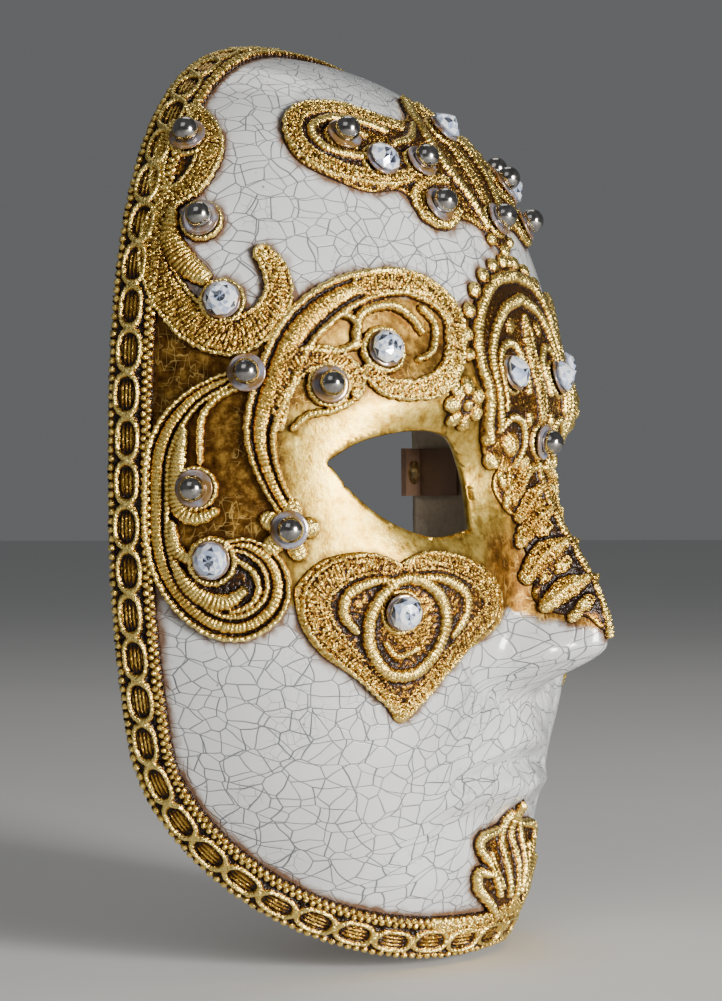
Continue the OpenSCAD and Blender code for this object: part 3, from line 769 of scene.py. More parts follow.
def temple_scroll_lower():
    k = Lace(52, 87, -29, 30)
    k.lay("scroll", [(60.5, 25.6, 3.4), (66, 24.6, 4.4), (71.3, 22.6, 5.4), (76.5, 18, 7), (80, 10.5, 7.5),
                     (81, -2, 7.5), (80, -9.5, 7.2), (77.5, -15.5, 7), (73, -20.6, 7), (67.5, -23.4, 7),
                     (62.3, -22.8, 7), (58.8, -18.8, 7), (58.6, -14, 6.5), (60.8, -9.8, 5.5),
                     (64.5, -7.4, 4.5), (68, -7.4, 3)], 1.9)
    k.lay("cord", [(62.5, 23.2, 1.8), (66.5, 22.2, 2), (70, 19.4, 2), (71.6, 15, 2), (72.4, 10, 1.6)], 1.8)
    k.lay("satin", [(74, 17, 2), (76, 11.5, 4), (77.2, 5, 4.4), (76.6, -0.2, 4.4), (73.6, -1.8, 4),
                    (70.4, -0.4, 2.4)], 2.2)
    k.lay("satin", [(78, -3, 2), (77.4, -8, 3.6), (75, -10.4, 3.4), (73.2, -9.6, 2)], 2.1)
    k.lay("satin", [(77, -11.6, 2.4), (74.6, -15.6, 4), (71, -18.4, 4.6), (66.8, -18.8, 4.4),
                    (64.2, -16.2, 2.6)], 2.2)
    k.lay("cord", [(66.5, -10, 1.6), (63, -12.4, 2), (61.6, -16, 2), (62.8, -19, 1.8),
                   (65.4, -20.4, 1.6)], 1.7)
    k.fill([(67, -7.8), (62, -10.5), (60.4, -15), (61.5, -19.5), (66, -21), (71, -19), (73, -14),
            (71, -9)], 0.1, 0.35)
    k.ring((73.8, 4.5), 4.8, 1.5)
    k.ring((70.5, -10.8), 5.3, 1.8)
    return k


def brow_scroll():
    k = Lace(11, 68, -4, 40)
    k.lay("scroll", [(57.5, -1, 5), (60, 4, 5.8), (61.3, 10, 7), (60.5, 16, 8.6), (56.2, 22.7, 10),
                     (49, 29.2, 10.5), (41, 32, 10), (33, 32.3, 8.5), (26, 31, 7)], 1.9)
    k.lay("grainy", [(33, 32.5, 6), (26.5, 31.3, 7), (20.3, 28.3, 7), (16.8, 24.4, 6.8), (19, 20.4, 6.5),
                     (24.5, 18.5, 6), (30.5, 18.2, 5.5), (36, 19.3, 5), (38.5, 21.8, 4)], 1.9)
    k.lay("cord", [(48.5, 27, 2), (43, 25.6, 2.2), (38.8, 25.9, 2.2), (36.8, 28.2, 2.2), (38.5, 30, 2)], 1.8)
    k.lay("cord", [(38.6, 25.6, 2.6), (35.3, 29.2, 2.8), (29.5, 29, 2.6), (26, 26.8, 2.2),
                   (24.5, 24.5, 1.8)], 1.9)
    k.lay("cord", [(27.3, 21.6, 1.8), (23.4, 22, 2), (21.2, 24.6, 2), (23, 27, 1.8)], 1.6)
    k.lay("grainy", [(57.2, 15.5, 3), (55.3, 21, 5.5), (50, 25.2, 6.5), (44.5, 25, 6), (41, 22, 4.6),
                     (42, 19.2, 3.6)], 1.8)
    k.lay("cord", [(55, 14.8, 1.8), (51.6, 16.8, 2), (47.5, 17, 2), (43.5, 18, 2)], 1.6)
    k.ring((46.5, 21), 4.8, 1.4)
    k.ring((33.8, 24), 5.2, 2.0, 1.9)
    return k


def cheek_medallion():
    k = Lace(5, 60, -36, -3)
    outline = [(55.5, -16), (54.5, -12.5), (51, -9.2), (45, -7.8), (40.5, -8.7), (38, -11), (34.5, -8.2),
               (29.5, -7.5), (23, -8.2), (15, -10), (10.5, -12), (10, -15), (15, -18.5), (20, -22),
               (24, -26.5), (28.5, -31.5), (33, -30), (38, -28.5), (43.5, -27), (48.5, -25.2), (53, -21.5)]
    k.fill(outline, 0.8, 0.35)
    k.lay("grainy", [(38.8, -10.6, 4), (43.3, -9.9, 5.5), (48.3, -11.4, 7), (51.6, -15.4, 7.5),
                     (50, -20.4, 7.5), (45.5, -23.8, 6.5), (39.5, -26.4, 5.5), (33, -28.8, 4.5),
                     (29.5, -30, 3.5)], 1.9, grain=1.0)
    k.lay("grainy", [(36.6, -10.2, 4), (32, -9.2, 5), (25.5, -9.9, 6), (18.5, -11.8, 6.5),
                     (14.5, -14.2, 6.5), (19.5, -18.3, 6.5), (23.3, -22.4, 6), (26.3, -26.8, 5),
                     (28.8, -30, 4)], 1.9, grain=1.0)
    k.lay("satin", [(38.8, -12.5, 2), (43, -12.9, 3), (46.5, -15.2, 3.4), (46.4, -18.6, 3.4),
                    (43.6, -20.8, 2.6)], 2.3)
    k.lay("satin", [(35, -11.9, 2), (29.5, -12, 3), (24, -13.6, 3.4), (22.6, -16.2, 3.4),
                    (24.4, -19, 2.6)], 2.3)
    k.lay("satin", [(37.4, -12.2, 3.2), (41, -15.2, 3.6), (41.8, -19.4, 3.8), (39.5, -23.4, 3.8),
                    (34.5, -26, 3.8), (29.3, -24.8, 3.8), (26.8, -21.2, 3.8), (27.8, -17, 3.6),
                    (32, -13.3, 3.4)], 2.6, closed=True)
    k.knot((35, -19.2), 6.6, 1.2, 90, 1.15, ribs=0.3, grain=0.9)
    k.lay("cord", [(37.5, -22, 1.8), (34.3, -23.4, 2), (31, -21.8, 1.8)], 2.0)
    k.ring((36.8, -17.2), 4.9, 1.4)
    return k


def brow_flower():
    k = Lace(12, 28, 8, 22)
    k.flower((20.4, 15), 7, 4.2, 2.2, turn=12)
    return k


def temple_rosette():
    k = Lace(50, 66, -12, 4)
    k.flower((57.6, -4.2), 5, 4.6, 2.6, turn=100)
    k.ring((57.7, -4), 3.9, 1.2, 2.0)
    return k


def forehead_crown():
    k = Lace(-38, 38.1, 30, 66)
    k.fill([(0, 63), (3, 60), (6, 57), (9, 55.3), (14.5, 56.3), (20, 59.2), (26, 61), (31, 59.5),
            (34, 55.5), (33.5, 51), (29.5, 46.5), (24.5, 43), (19, 42), (17.5, 40), (16.8, 37),
            (12.5, 35.2), (8, 37), (4, 36), (0, 33)], 0.5, 0.5)
    k.both("grainy", [(11.5, 53.2, 3.5), (16, 55, 4.5), (22, 58.2, 5), (28.5, 59, 5), (32, 55.8, 5),
                      (31.3, 51, 5), (27, 46.8, 5), (20.8, 44, 4.5), (15, 44, 4), (9.5, 46.5, 3)], 1.8)
    k.both("satin", [(15.5, 52, 2.4), (19, 54.2, 2.8), (24.5, 56, 2.8), (28.6, 55.3, 2.8), (28.6, 51.8, 2.8),
                     (25, 49, 2.6), (20.5, 47.5, 2.2)], 1.9)
    k.both("cord", [(20, 51.4, 1.6), (23, 53.9, 1.8), (26.2, 53.6, 1.8), (26, 51.2, 1.6),
                    (23.3, 50, 1.4)], 1.6)
    k.both("grainy", [(8.5, 43.2, 3), (13, 42.8, 3.4), (16.6, 40.6, 3.4), (15.6, 37.2, 3.4), (12, 36.2, 3),
                      (9, 38, 2.6)], 1.7)
    k.both("satin", [(2, 61, 2.5), (4.5, 57, 3.5), (6.5, 52, 3.8), (6.5, 46.5, 3.6), (4.8, 41.5, 3),
                     (3, 36.5, 2.4)], 2.0)
    k.lay("grainy", [(0, 62.5, 3), (0, 58, 4.5), (0, 48.5, 5), (0, 43, 4.5), (0, 36, 3.5)], 1.8)
    k.both("satin", [(7.5, 54.2, 2), (11, 50.8, 2.6), (15, 49.6, 2)], 1.7)
    k.knot((0, 33.2), 2.1, 1.9)
    k.pair((2.8, 34.6), 1.7, 1.8)
    k.knot((0, 31.4), 1.5, 1.8)
    k.pair((13, 45.6), 4.6, 0.9)
    for s in (-1, 1):
        k.ring((13 * s, 45.6), 4.3, 1.3)
        k.ring((13.6 * s, 38.6), 4.3, 1.3)
        k.ring((20.5 * s, 46.5), 4.9, 1.4)
        k.ring((24.5 * s, 52), 4.3, 1.2)
    k.ring((0, 54), 4.9, 1.4)
    k.ring((0, 37.6), 4.3, 1.2)
    return k


def brow_shield():
    k = Lace(-18, 18.1, 2, 36)
    k.fill([(0, 31), (5, 29.7), (9, 27.2), (12, 24.5), (14, 21), (15, 17), (15.5, 13), (14, 9.5), (12, 6.5),
            (6, 4.4), (0, 4.2)], 0.6, 0.2)
    k.both("satin", [(0, 29.4, 4), (5.4, 28.2, 3.8), (9.6, 25.3, 3.6), (12.5, 21.5, 3.6), (13.8, 17, 3.4),
                     (14.1, 12.8, 3.2), (12.5, 9.8, 2.8)], 2.3)
    k.both("satin", [(0, 26.2, 3.8), (4.6, 24.6, 3.6), (8.2, 21.6, 3.4), (10.7, 18, 3.2), (11.6, 14.4, 3),
                     (10.8, 11.4, 2.6)], 2.3)
    k.both("satin", [(9.6, 12.8, 2.6), (9.3, 16.6, 2.8), (7.4, 19.3, 2.8), (4.6, 19.6, 2.8),
                     (2.9, 17.2, 2.6), (3.4, 13.8, 2.2)], 2.2)
    k.lay("grainy", [(0, 23.4, 3.5), (0, 19, 5.5), (0, 13.5, 5), (0, 11, 4)], 2.2, grain=0.5)
    k.pair((4.2, 22.3), 2.2, 1.5, 125, 1.4)
    for a, b, r, turn in ((7.2, 8.3, 3.2, 60), (3.3, 10.6, 2, 90), (11.6, 7, 2.4, 40), (4, 5.6, 2.4, 0),
                          (13, 10, 2, 70)):
        k.pair((a, b), r, 1.9, turn, 1.2)
    k.both("cord", [(10.8, 10.6, 2.2), (8, 11.4, 2.4), (5, 10.2, 2.4), (4.4, 7.6, 2.2), (6.6, 5.8, 2)], 2.3)
    for a, b, r in ((15.4, 19.8, 1.7), (14.6, 22, 1.9), (12.9, 24.6, 2.1), (10.7, 26.9, 2.1), (8, 28.8, 2.1),
                    (4.9, 30.4, 2.1), (1.7, 31.4, 2.1)):
        k.pair((a, b), r, 1.9, 135, 1.1, ribs=0.1)
    k.ring((7, 16), 4.7, 1.3)
    k.ring((-7, 16), 4.7, 1.3)
    k.ring((0, 8), 4.4, 1.4)
    return k


def nose_lace():
    k = Lace(-15, 15.1, -17, 8)
    k.fill([(0, 4.6), (4, 5.2), (8, 6), (11, 5.2), (12, 2.5), (10, -0.8), (6.8, -2.4), (5.8, -5), (4.4, -8),
            (4.8, -10.8), (3.6, -12), (1.8, -12), (1, -13), (0, -13.4)], 0.5, 0.15)
    for i in range(6):
        t = math.radians(70 + 42 * i)
        k.pair((9.3 + 1.9 * math.cos(t), 2.7 + 1.4 * math.sin(t)), 1.7, 1.8, 70 + 42 * i, 1.7, ribs=0.1)
    k.pair((8.9, 3), 1.5, 2.2)
    for keys in ([(1.5, 4.6, 2.5), (4.6, 4.2, 4.8), (7.2, 2.0, 3.4)],
                 [(1.2, 2.1, 3), (4, 0.9, 6.2), (6.9, -1.7, 4.2)],
                 [(1.2, -1, 3), (3.8, -2.5, 7.2), (6.2, -5.1, 4.8)],
                 [(1, -4.3, 3.4), (3, -6, 8), (5.2, -8.8, 5)],
                 [(0.8, -8, 3), (2.4, -9.3, 7), (3.9, -11.4, 4.4)]):
        k.both("satin", keys, 2.3, grain=1.1)
        k.both("cord", [keys[0][:2] + (1.6,), keys[1][:2] + (1.9,), keys[2][:2] + (1.4,)], 3.1, grain=0.6)
    for a, b, r in ((2.7, -0.1, 2), (2.6, -3.3, 2.3), (2.1, -6.8, 2.6), (3.5, -8.4, 1.9), (1.6, -10.6, 2.2),
                    (2.4, -12, 1.6)):
        k.pair((a, b), r, 1.9, 130, 1.4, grain=0.9)
    k.lay("satin", [(0, 5, 2.6), (0, 0, 3), (0, -5, 3), (0, -10, 2.6), (0, -12.6, 2.4),
                    (0, -13.8, 2)], 2.0, grain=0.5)
    return k


def chin_palmette():
    k = Lace(-16, 16.1, -56.5, -31)
    k.fill([(0, -34), (2.5, -36), (6, -37.6), (8.5, -39.8), (6.8, -41.8), (8.6, -44.3), (6, -47), (5, -49.5),
            (9, -51.5), (13, -52.2), (13, -53.5), (0, -54)], 0.7, 0.25)
    k.both("satin", [(0.9, -34.6, 2), (2.6, -37.5, 2.8), (2.6, -41.5, 2.8), (1.6, -46, 2.4)], 2.2)
    k.both("satin", [(3.4, -37, 2), (7, -38.6, 3), (7.7, -40.2, 2.8), (5.6, -42.4, 2.6),
                     (3.6, -46, 2.2)], 2.2)
    k.both("satin", [(5.4, -40.6, 1.8), (4.6, -42.8, 2.2), (3.2, -45, 1.8)], 1.9)
    k.both("satin", [(5, -43.4, 2), (7.9, -43.6, 3), (7.4, -45.6, 3), (4.8, -47.6, 2.8),
                     (3, -49.4, 2.4)], 2.2)
    k.both("grainy", [(2, -48.5, 4), (4.5, -50.3, 4.5), (8.5, -51.9, 4.5), (13, -52.8, 3)], 1.9)
    k.lay("cord", [(0, -33.6, 1.8), (0, -37, 2.4), (0, -42, 2.4), (0, -46.5, 2.2)], 2.3)
    k.knot((0, -48), 3, 2.0)
    k.knot((0, -51.3), 3, 1.9, 0, 1.3)
    return k


SIDE_LACE = {"temple_scroll_upper": temple_scroll_upper, "temple_scroll_lower": temple_scroll_lower,
             "brow_scroll": brow_scroll, "cheek_medallion": cheek_medallion,
             "brow_flower": brow_flower, "temple_rosette": temple_rosette}
MIDDLE_LACE = {"forehead_crown": forehead_crown, "brow_shield": brow_shield,
               "nose_lace": nose_lace, "chin_palmette": chin_palmette}

footprints = []         # points under the trim, where glue has stained the paint
for name, draw in SIDE_LACE.items():
    lace = draw()
    for side, sign in SIDES.items():
        finish_piece(lace.build(f"{name}_{side}_lace", mirror=sign < 0), "lace", f"{name}_{side}")
    covered = lace.footprint()
    footprints += [covered, covered * (-1, 1, 1)]
for name, draw in MIDDLE_LACE.items():
    lace = draw()
    finish_piece(lace.build(f"{name}_lace"), "lace", name)
    footprints.append(lace.footprint())


# ---- The braid ----

BRAID_IN, BRAID_OUT = -6.1, 5.6     # its edges, from its middle line, mm
BRAID_INSET = 5.75                  # how far its middle line lies in from the rim, mm
RIM_MM = 1.42                       # millimetres to a degree of the chart by the rim
LINK, BRAID_STEP = 10.6, 0.36       # length of a link, and of the steps along the braid
BRAID_ROWS = 37                     # points across
BRAID_ROOT = 0.6                    # how deep its foot goes below the shell's surface
LINK_CORD, TIE_CORD = 0.56, 0.55    # half widths of the cords of the links and of the ties across them
# Rows of beads: place across, radius, spacing, shift
BEAD_ROWS = ((4.55, 1.05, 2.15, 0.0), (-4.0, 0.95, 1.95, 0.5), (-5.25, 0.9, 1.95, 0.0))


def braid_height(u, v, pitch):
    """Oval links of twisted cord with satin strands inside, between rows of beads."""
    k = np.floor(u / pitch)
    du = u - (k + 0.5) * pitch
    v0 = v - 0.35 - 0.25 * np.sin(k * 2.4)
    long, wide = 0.455 * pitch, 2.8 + 0.18 * np.sin(k * 1.7)
    e = ((np.abs(du) / long) ** 2.5 + (np.abs(v0) / wide) ** 2.5) ** 0.4
    th = np.arctan2(v0 / wide, du / long)
    top = 0.5 + 0.5 * cell_bumps(u, v, 1.2)
    twist = 0.72 + 0.28 * np.abs(np.sin(12 * th))
    link = 1.05 + 1.25 * dome(np.clip((e - 1) * wide / LINK_CORD, -1, 1)) * twist
    top = np.where(np.abs(e - 1) * wide < LINK_CORD, np.maximum(top, link), top)
    lens = np.maximum(1 - (du / (0.82 * long)) ** 2, 0) ** 0.5
    strand = 0.9 + 0.95 * np.abs(np.cos(np.pi * v0)) ** 0.7 * lens * (0.85 + 0.15 * np.sin(3.1 * u + 9 * v0))
    top = np.where((e < 0.82) & (np.abs(v0) < 2.0 * lens), np.maximum(top, strand), top)
    dj = u - np.round(u / pitch) * pitch
    cross = (v0 - 1.25 * dj) / 1.6
    twist = 0.8 + 0.2 * np.abs(np.sin(np.pi * (dj + v0) / 1.3))
    tie = 1.45 + 1.05 * dome(np.clip(cross / TIE_CORD, -1, 1)) * twist
    on_tie = (np.abs(cross) < TIE_CORD) & (np.abs(v0) < 2.6) & (np.abs(dj) < 2.2)
    top = np.where(on_tie, np.maximum(top, tie), top)
    for row, r, step, shift in BEAD_ROWS:
        m = np.round(u / step - shift)
        dd = np.hypot(u - (m + shift) * step, v - row - 0.12 * np.sin(m * 2.1))
        top = np.maximum(top, np.where(dd < r, 0.55 + 1.35 * dome(dd / r), -1))
    edge = (v > 4.6) | (v < -5.2)
    return np.where(edge & (top < 0.95), -0.2, top)


def braid():
    """The braid round the rim, and the points along its inner edge."""
    psi = np.linspace(-math.pi, math.pi, 720, endpoint=False)
    c = (rim_rho(psi) - BRAID_INSET / RIM_MM)[:, None] * np.stack([np.sin(psi), np.cos(psi)], -1)
    p = face_at(c)
    run = np.concatenate([[0], np.cumsum(np.linalg.norm(np.roll(p, -1, 0) - p, axis=1))])
    total = run[-1]
    nu = int(total / BRAID_STEP)
    u = np.linspace(0, total, nu, endpoint=False)
    cc = np.stack([np.interp(u, run, np.append(c[:, i], c[0, i])) for i in (0, 1)], -1)
    p, ta, tb = tangents(cc)
    n = frame_at(cc)[1]
    side = unit(np.cross(n, unit(np.roll(p, -1, 0) - np.roll(p, 1, 0))))
    side = side * np.sign((chart_offset(ta, tb, side) * cc).sum(-1))[:, None]
    v = np.linspace(BRAID_IN, BRAID_OUT, BRAID_ROWS)
    step = chart_offset(ta, tb, side)
    grid = cc[:, None] + v[None, :, None] * step[:, None]
    rho = np.linalg.norm(grid, axis=-1)
    # No point goes past the rim
    limit = rim_rho(np.arctan2(grid[..., 0], grid[..., 1]))
    grid *= np.minimum(1, limit / rho)[..., None]
    p, n = frame_at(grid)
    uu, vv = np.meshgrid(u, v, indexing="ij")
    # A whole number of links fits the length, so that the pattern closes on itself
    h = braid_height(uu * (LINK * round(total / LINK) / total), vv, LINK)
    top = (p + n * h[..., None]).reshape(-1, 3)
    low = p[:, (0, -1)] - BRAID_ROOT * n[:, (0, -1)]
    points = np.concatenate([top, low.reshape(-1, 3)])
    ids = np.arange(h.size).reshape(h.shape)
    nxt = np.roll(ids, -1, 0)
    faces = [np.stack([ids[:, :-1], ids[:, 1:], nxt[:, 1:], nxt[:, :-1]], -1).reshape(-1, 4)]
    foot = h.size + np.arange(2 * nu).reshape(nu, 2)
    foot_next = np.roll(foot, -1, 0)
    faces.append(np.stack([ids[:, 0], nxt[:, 0], foot_next[:, 0], foot[:, 0]], -1))
    faces.append(np.stack([nxt[:, -1], ids[:, -1], foot[:, 1], foot_next[:, 1]], -1))
    faces.append(np.stack([foot[:, 0], foot_next[:, 0], foot_next[:, 1], foot[:, 1]], -1))
    # Painted shade in the braid's grooves, and the darkest on its foot walls
    values = {"ridge_shade": np.concatenate([ridges(h, 1.1).ravel(), np.full(2 * nu, -1.0)]),
              "grain": np.full(len(points), 0.4)}
    return mesh("edge_braid_cords", points, np.concatenate(faces), [braid_gold], values), p[:, 0]


braid_object, braid_inner = braid()
finish_piece(braid_object, "braid", "edge_braid")
footprints.append(braid_inner[::3])


# ---- The shell ----

# On the chart: the edges of the eye openings, and the outline of the gold leaf
EYE_UPPER = [(49.5, 8.5), (43, 11.2), (35, 12.2), (26.5, 11.8), (20, 9.5), (17, 4.5), (18.5, -3.5)]
EYE_LOWER = [(18.5, -3.5), (29, -4.8), (38, -2.2), (45, 2.8), (49.5, 8.5)]
GILDED = [(96, 46), (70, 42), (62, 33), (52, 31), (40, 31), (30, 31), (22, 28), (17, 24), (12, 24),
          (-12, 24), (-12, -12), (3, -13.2), (8, -13.4), (11, -15), (14, -18), (20, -20), (26, -24),
          (40, -24), (56, -18), (60, -22), (70, -24), (78, -17), (88, -9), (96, -9)]
RINGS, SECTORS = 112, 440
COUNT = RINGS * SECTORS
SPOKES = 2 * math.pi * (np.arange(SECTORS) + 0.5) / SECTORS - math.pi
ROUND = 0.55            # how far the eye opening's edge is rounded back, mm
SNAP = 0.62             # grid points nearer to that edge than this are moved onto it, mm
RIPPLE = 0.18           # height of the paper's ripple on the inside, mm
# The edge, rounded: depth, how far it comes into the eye opening, and how far back from the rim, mm
EDGE_STEPS = ((0.3, 0.32, 0), (0.9, 0.52, 0.12), (1.6, 0.52, 0.12), (2.2, 0.32, 0))


def mirrored(c):
    """Chart places brought over to the positive side."""
    return np.stack([np.abs(c[..., 0]), c[..., 1]], -1)


def snapped(c):
    """Moves places near an eye opening onto its edge: the places, how far outside it, and the way out."""
    eye = np.concatenate([spline(EYE_UPPER), spline(EYE_LOWER)[1:-1]])
    folded, eps = mirrored(c), 0.05
    away = signed_distance(folded, eye) * EYE_MM - ROUND
    slopes = []
    for step in ((eps, 0), (0, eps)):
        ahead, behind = signed_distance(folded + step, eye), signed_distance(folded - step, eye)
        slopes.append((ahead - behind) / (2 * eps))
    out = unit(np.stack(slopes, -1))
    near = np.abs(away) < SNAP
    folded = folded + np.where(near, -away / EYE_MM, 0)[..., None] * out
    side = np.stack([np.sign(c[..., 0]), np.ones(c.shape[:-1])], -1)
    return side * folded, np.where(near, 0, away), side * out


def paint_values(p, c):
    """What the paint reads at each point of the outside."""
    trim = np.concatenate(footprints)
    tree = KDTree(len(trim))
    for i, q in enumerate(trim):
        tree.insert(q, i)
    tree.balance()
    gap = np.array([tree.find(q)[2] for q in p.reshape(-1, 3)])
    stain = np.exp(-np.maximum(gap - 0.6, 0) / 1.5)
    gild = -signed_distance(mirrored(c), np.array(GILDED, float)).ravel()
    # The gold is darker at the temples, beside the nose and on the brow
    a, b = mirrored(c).reshape(-1, 2).T
    shade = ease((a - 53) / 9) + ease((19 - a) / 6) * ease((1 - b) / 8) + 0.75 * ease((b - 15) / 5)
    # The face laid flat, in metres, for the crackle
    run = np.cumsum(np.linalg.norm(np.diff(p, axis=0, prepend=p[:1]), axis=2), axis=0) * MM
    spread = np.stack([run * np.sin(SPOKES), run * np.cos(SPOKES), 0 * run], -1)
    return {"stain": stain, "gild": gild, "shade": shade, "spread": spread.reshape(-1, 3)}


def shell():
    """The face on a polar grid, its inside a wall's thickness behind it, and the walls between the two."""
    rho = np.linspace(0.004, 1, RINGS)[:, None] * rim_rho(SPOKES)
    c, away, out = snapped(np.stack([rho * np.sin(SPOKES), rho * np.cos(SPOKES)], -1))
    p, n = frame_at(c)
    ids = np.arange(COUNT).reshape(RINGS, SECTORS)
    beside = np.roll(ids, -1, 1)
    quads = np.stack([ids[:-1], beside[:-1], beside[1:], ids[1:]], -1).reshape(-1, 4)
    quads = quads[(away.ravel()[quads] >= 0).all(1)]
    # A ripple of hand-laid paper on the inside
    ripple = RIPPLE * np.sin(c[..., 0] * 0.55 + 1.3 * np.sin(c[..., 1] * 0.31)) * np.sin(c[..., 1] * 0.42)
    inner = p - (WALL + (0.1 + ripple) * (away > 3))[..., None] * n
    points = [p.reshape(-1, 3), inner.reshape(-1, 3)]
    faces, slots = [quads, quads[:, ::-1] + COUNT], [np.zeros(len(quads)), np.ones(len(quads))]
    # Walls of the eye openings and the back rim, and none round the middle of the grid
    edges = open_edges(quads)
    edges = edges[edges.max(1) >= SECTORS]
    border = np.unique(edges)
    e0, e1 = np.searchsorted(border, edges).T
    on_rim = border >= COUNT - SECTORS
    border_c, border_out = c.reshape(-1, 2)[border], out.reshape(-1, 2)[border]
    layers = [border]
    for depth, inward, back in EDGE_STEPS:
        q, m = frame_at(border_c - np.where(on_rim, 0, inward / EYE_MM)[:, None] * border_out)
        layers.append(sum(len(row) for row in points) + np.arange(len(border)))
        points.append(q - depth * m + np.where(on_rim, back, 0)[:, None] * (0, 1, 0))
    layers.append(border + COUNT)
    for i, (above, below) in enumerate(zip(layers[:-1], layers[1:])):
        faces.append(np.stack([above[e1], above[e0], below[e0], below[e1]], -1))
        # The paint goes round the edge of the eye openings, and the rim is bare paper
        slots.append(np.where(on_rim[e0] & on_rim[e1], i > 0, i > 2))
    # The middle of the grid, outside and inside
    faces = [list(f) for f in np.concatenate(faces)] + [list(ids[0][::-1]), list(ids[0] + COUNT)]
    slots = np.concatenate(slots + [[0, 1]])
    values = {}
    for key, outside in paint_values(p, c).items():
        inside = np.full_like(outside, -9 if key == "gild" else 0)
        values[key] = np.concatenate([outside, inside] + [outside[border]] * len(EDGE_STEPS))
    return mesh("mask_shell_paper", np.concatenate(points), faces, [shell_out, shell_in], values, slots)


finish_piece(shell(), "shell", "mask_shell")


# ---- Stones ----

LACE_T, DISC_T, DISC_R, CRYSTAL_R, CRYSTAL_H, DOME_R = 2.4, 0.6, 4.6, 4.2, 4.0, 3.2
CRYSTAL_SIDES, DOME_SIDES, DISC_SIDES = 10, 40, 36
# Shares of painted-highlight white, blue, and painted dark-reflection facets
SHARES = (0.52, 0.36, 0.12)             # of white, blue and dark facets
BLUE, DARK_REFLECTION = 1, 2                       # their places in facets
# Where the stones stand on the chart, and for crystals whether they are pointed
SIDE_CRYSTALS = {"temple_upper": (58.8, 38, False), "temple_lower": (70.5, -10.5, False),
                 "brow": (33.8, 24, False), "shield": (7, 16, True), "crown": (20.5, 46.5, True),
                 "cheek": (36.8, -17.2, False)}
SIDE_DOMES = {"curl": (48, 65.5), "hook": (55, 51.5), "stem": (60, 25.4), "temple": (73.8, 4.5),
              "brow": (46.5, 21), "rosette": (57.7, -4), "crown_outer": (24.5, 52),
              "crown_inner": (13, 45.6), "crown_lower": (13.6, 38.6)}


def placed(points, a, b):
    """Stands points (mm, +Z outwards) on the lace at a place on the chart."""
    p, n = frame_at(np.array([a, b], float))
    u = unit(np.cross((0, 0, 1), n))
    w = np.cross(n, u)
    return p + LACE_T * n + np.asarray(points) @ np.stack([u, w, n])


def lathe(profile, sides, turn=0.0):
    """Rings of (radius, height, half steps turned) about Z, closed top and bottom: points and faces."""
    points, faces = [], []
    for r, z, shift in profile:
        for i in range(sides):
            t = 2 * math.pi * (i + 0.5 * shift + turn) / sides
            points.append((r * math.cos(t), r * math.sin(t), z))
    for k in range(len(profile) - 1):
        same = profile[k][2] == profile[k + 1][2]
        for i in range(sides):
            j = (i + 1) % sides
            a, b, c, d = k * sides + i, k * sides + j, (k + 1) * sides + i, (k + 1) * sides + j
            if same:
                faces.append([a, b, d, c])
            elif profile[k][2] < profile[k + 1][2]:
                faces += [[a, b, c], [b, d, c]]
            else:
                faces += [[a, b, d], [a, d, c]]
    faces += [list(range(sides))[::-1], [(len(profile) - 1) * sides + i for i in range(sides)]]
    return np.array(points), faces


def crystal(name, a, b, pointed):
    """A ten-sided cut stone: a flat table, or a point, within rings of facets."""
    r, h, z0 = CRYSTAL_R, CRYSTAL_H, DISC_T
    if pointed:
        rings = [(r, z0 + 0.3 * h, 0), (0.74 * r, z0 + 0.55 * h, 1), (0.40 * r, z0 + 0.80 * h, 0),
                 (0.04 * r, z0 + h, 1)]
    else:
        rings = [(r, z0 + 0.32 * h, 0), (0.84 * r, z0 + 0.56 * h, 1), (0.62 * r, z0 + 0.76 * h, 0),
                 (0.33 * r, z0 + 0.80 * h, 1), (0.04 * r, z0 + 0.84 * h, 0)]
    points, faces = lathe([(0.82 * r, z0, 0), (r, z0 + 0.2 * h, 0)] + rings, CRYSTAL_SIDES, rng.random())
    tones = rng.choice(len(SHARES), len(faces), p=SHARES)
    # The girdle is blue
    tones[:2 * CRYSTAL_SIDES] = BLUE
    if not pointed:
        # Painted dark reflection: a dark star in the table, as cut glass over its foil shows one
        star = 2 * CRYSTAL_SIDES
        tones[-star - 2:-2] = np.where(rng.random(star) < 0.55, DARK_REFLECTION, BLUE)
    o = mesh(f"{name}_cut", placed(points, a, b), faces, facets, slots=tones, smooth=False)
    finish_piece(o, "crystal", name)


def dome_stone(name, a, b):
    r = DOME_R
    profile = [(0.89 * r, DISC_T, 0), (0.96 * r, DISC_T + 0.16 * r, 0)]
    for k in range(13):
        t = math.radians(-12 + 8 * k)
        profile.append((r * max(math.cos(t), 0.02), DISC_T + 0.45 * r + r * math.sin(t), 0))
    points, faces = lathe(profile, DOME_SIDES)
    finish_piece(mesh(f"{name}_ball", placed(points, a, b), faces, [chrome]), "dome", name)


def disc_points(a, b):
    """A clear disc with a softly rounded edge, and how near its rim each point is."""
    profile = [(0.02, 0.0, 0), (DISC_R - 0.3, 0.0, 0), (DISC_R, 0.12, 0), (DISC_R, 0.42, 0),
               (DISC_R - 0.2, 0.58, 0), (DISC_R - 1.0, DISC_T, 0), (0.02, DISC_T, 0)]
    points, faces = lathe(profile, DISC_SIDES)
    near_rim = np.clip(np.hypot(points[:, 0], points[:, 1]) / DISC_R, 0, 1)
    return placed(points, a, b), faces, near_rim


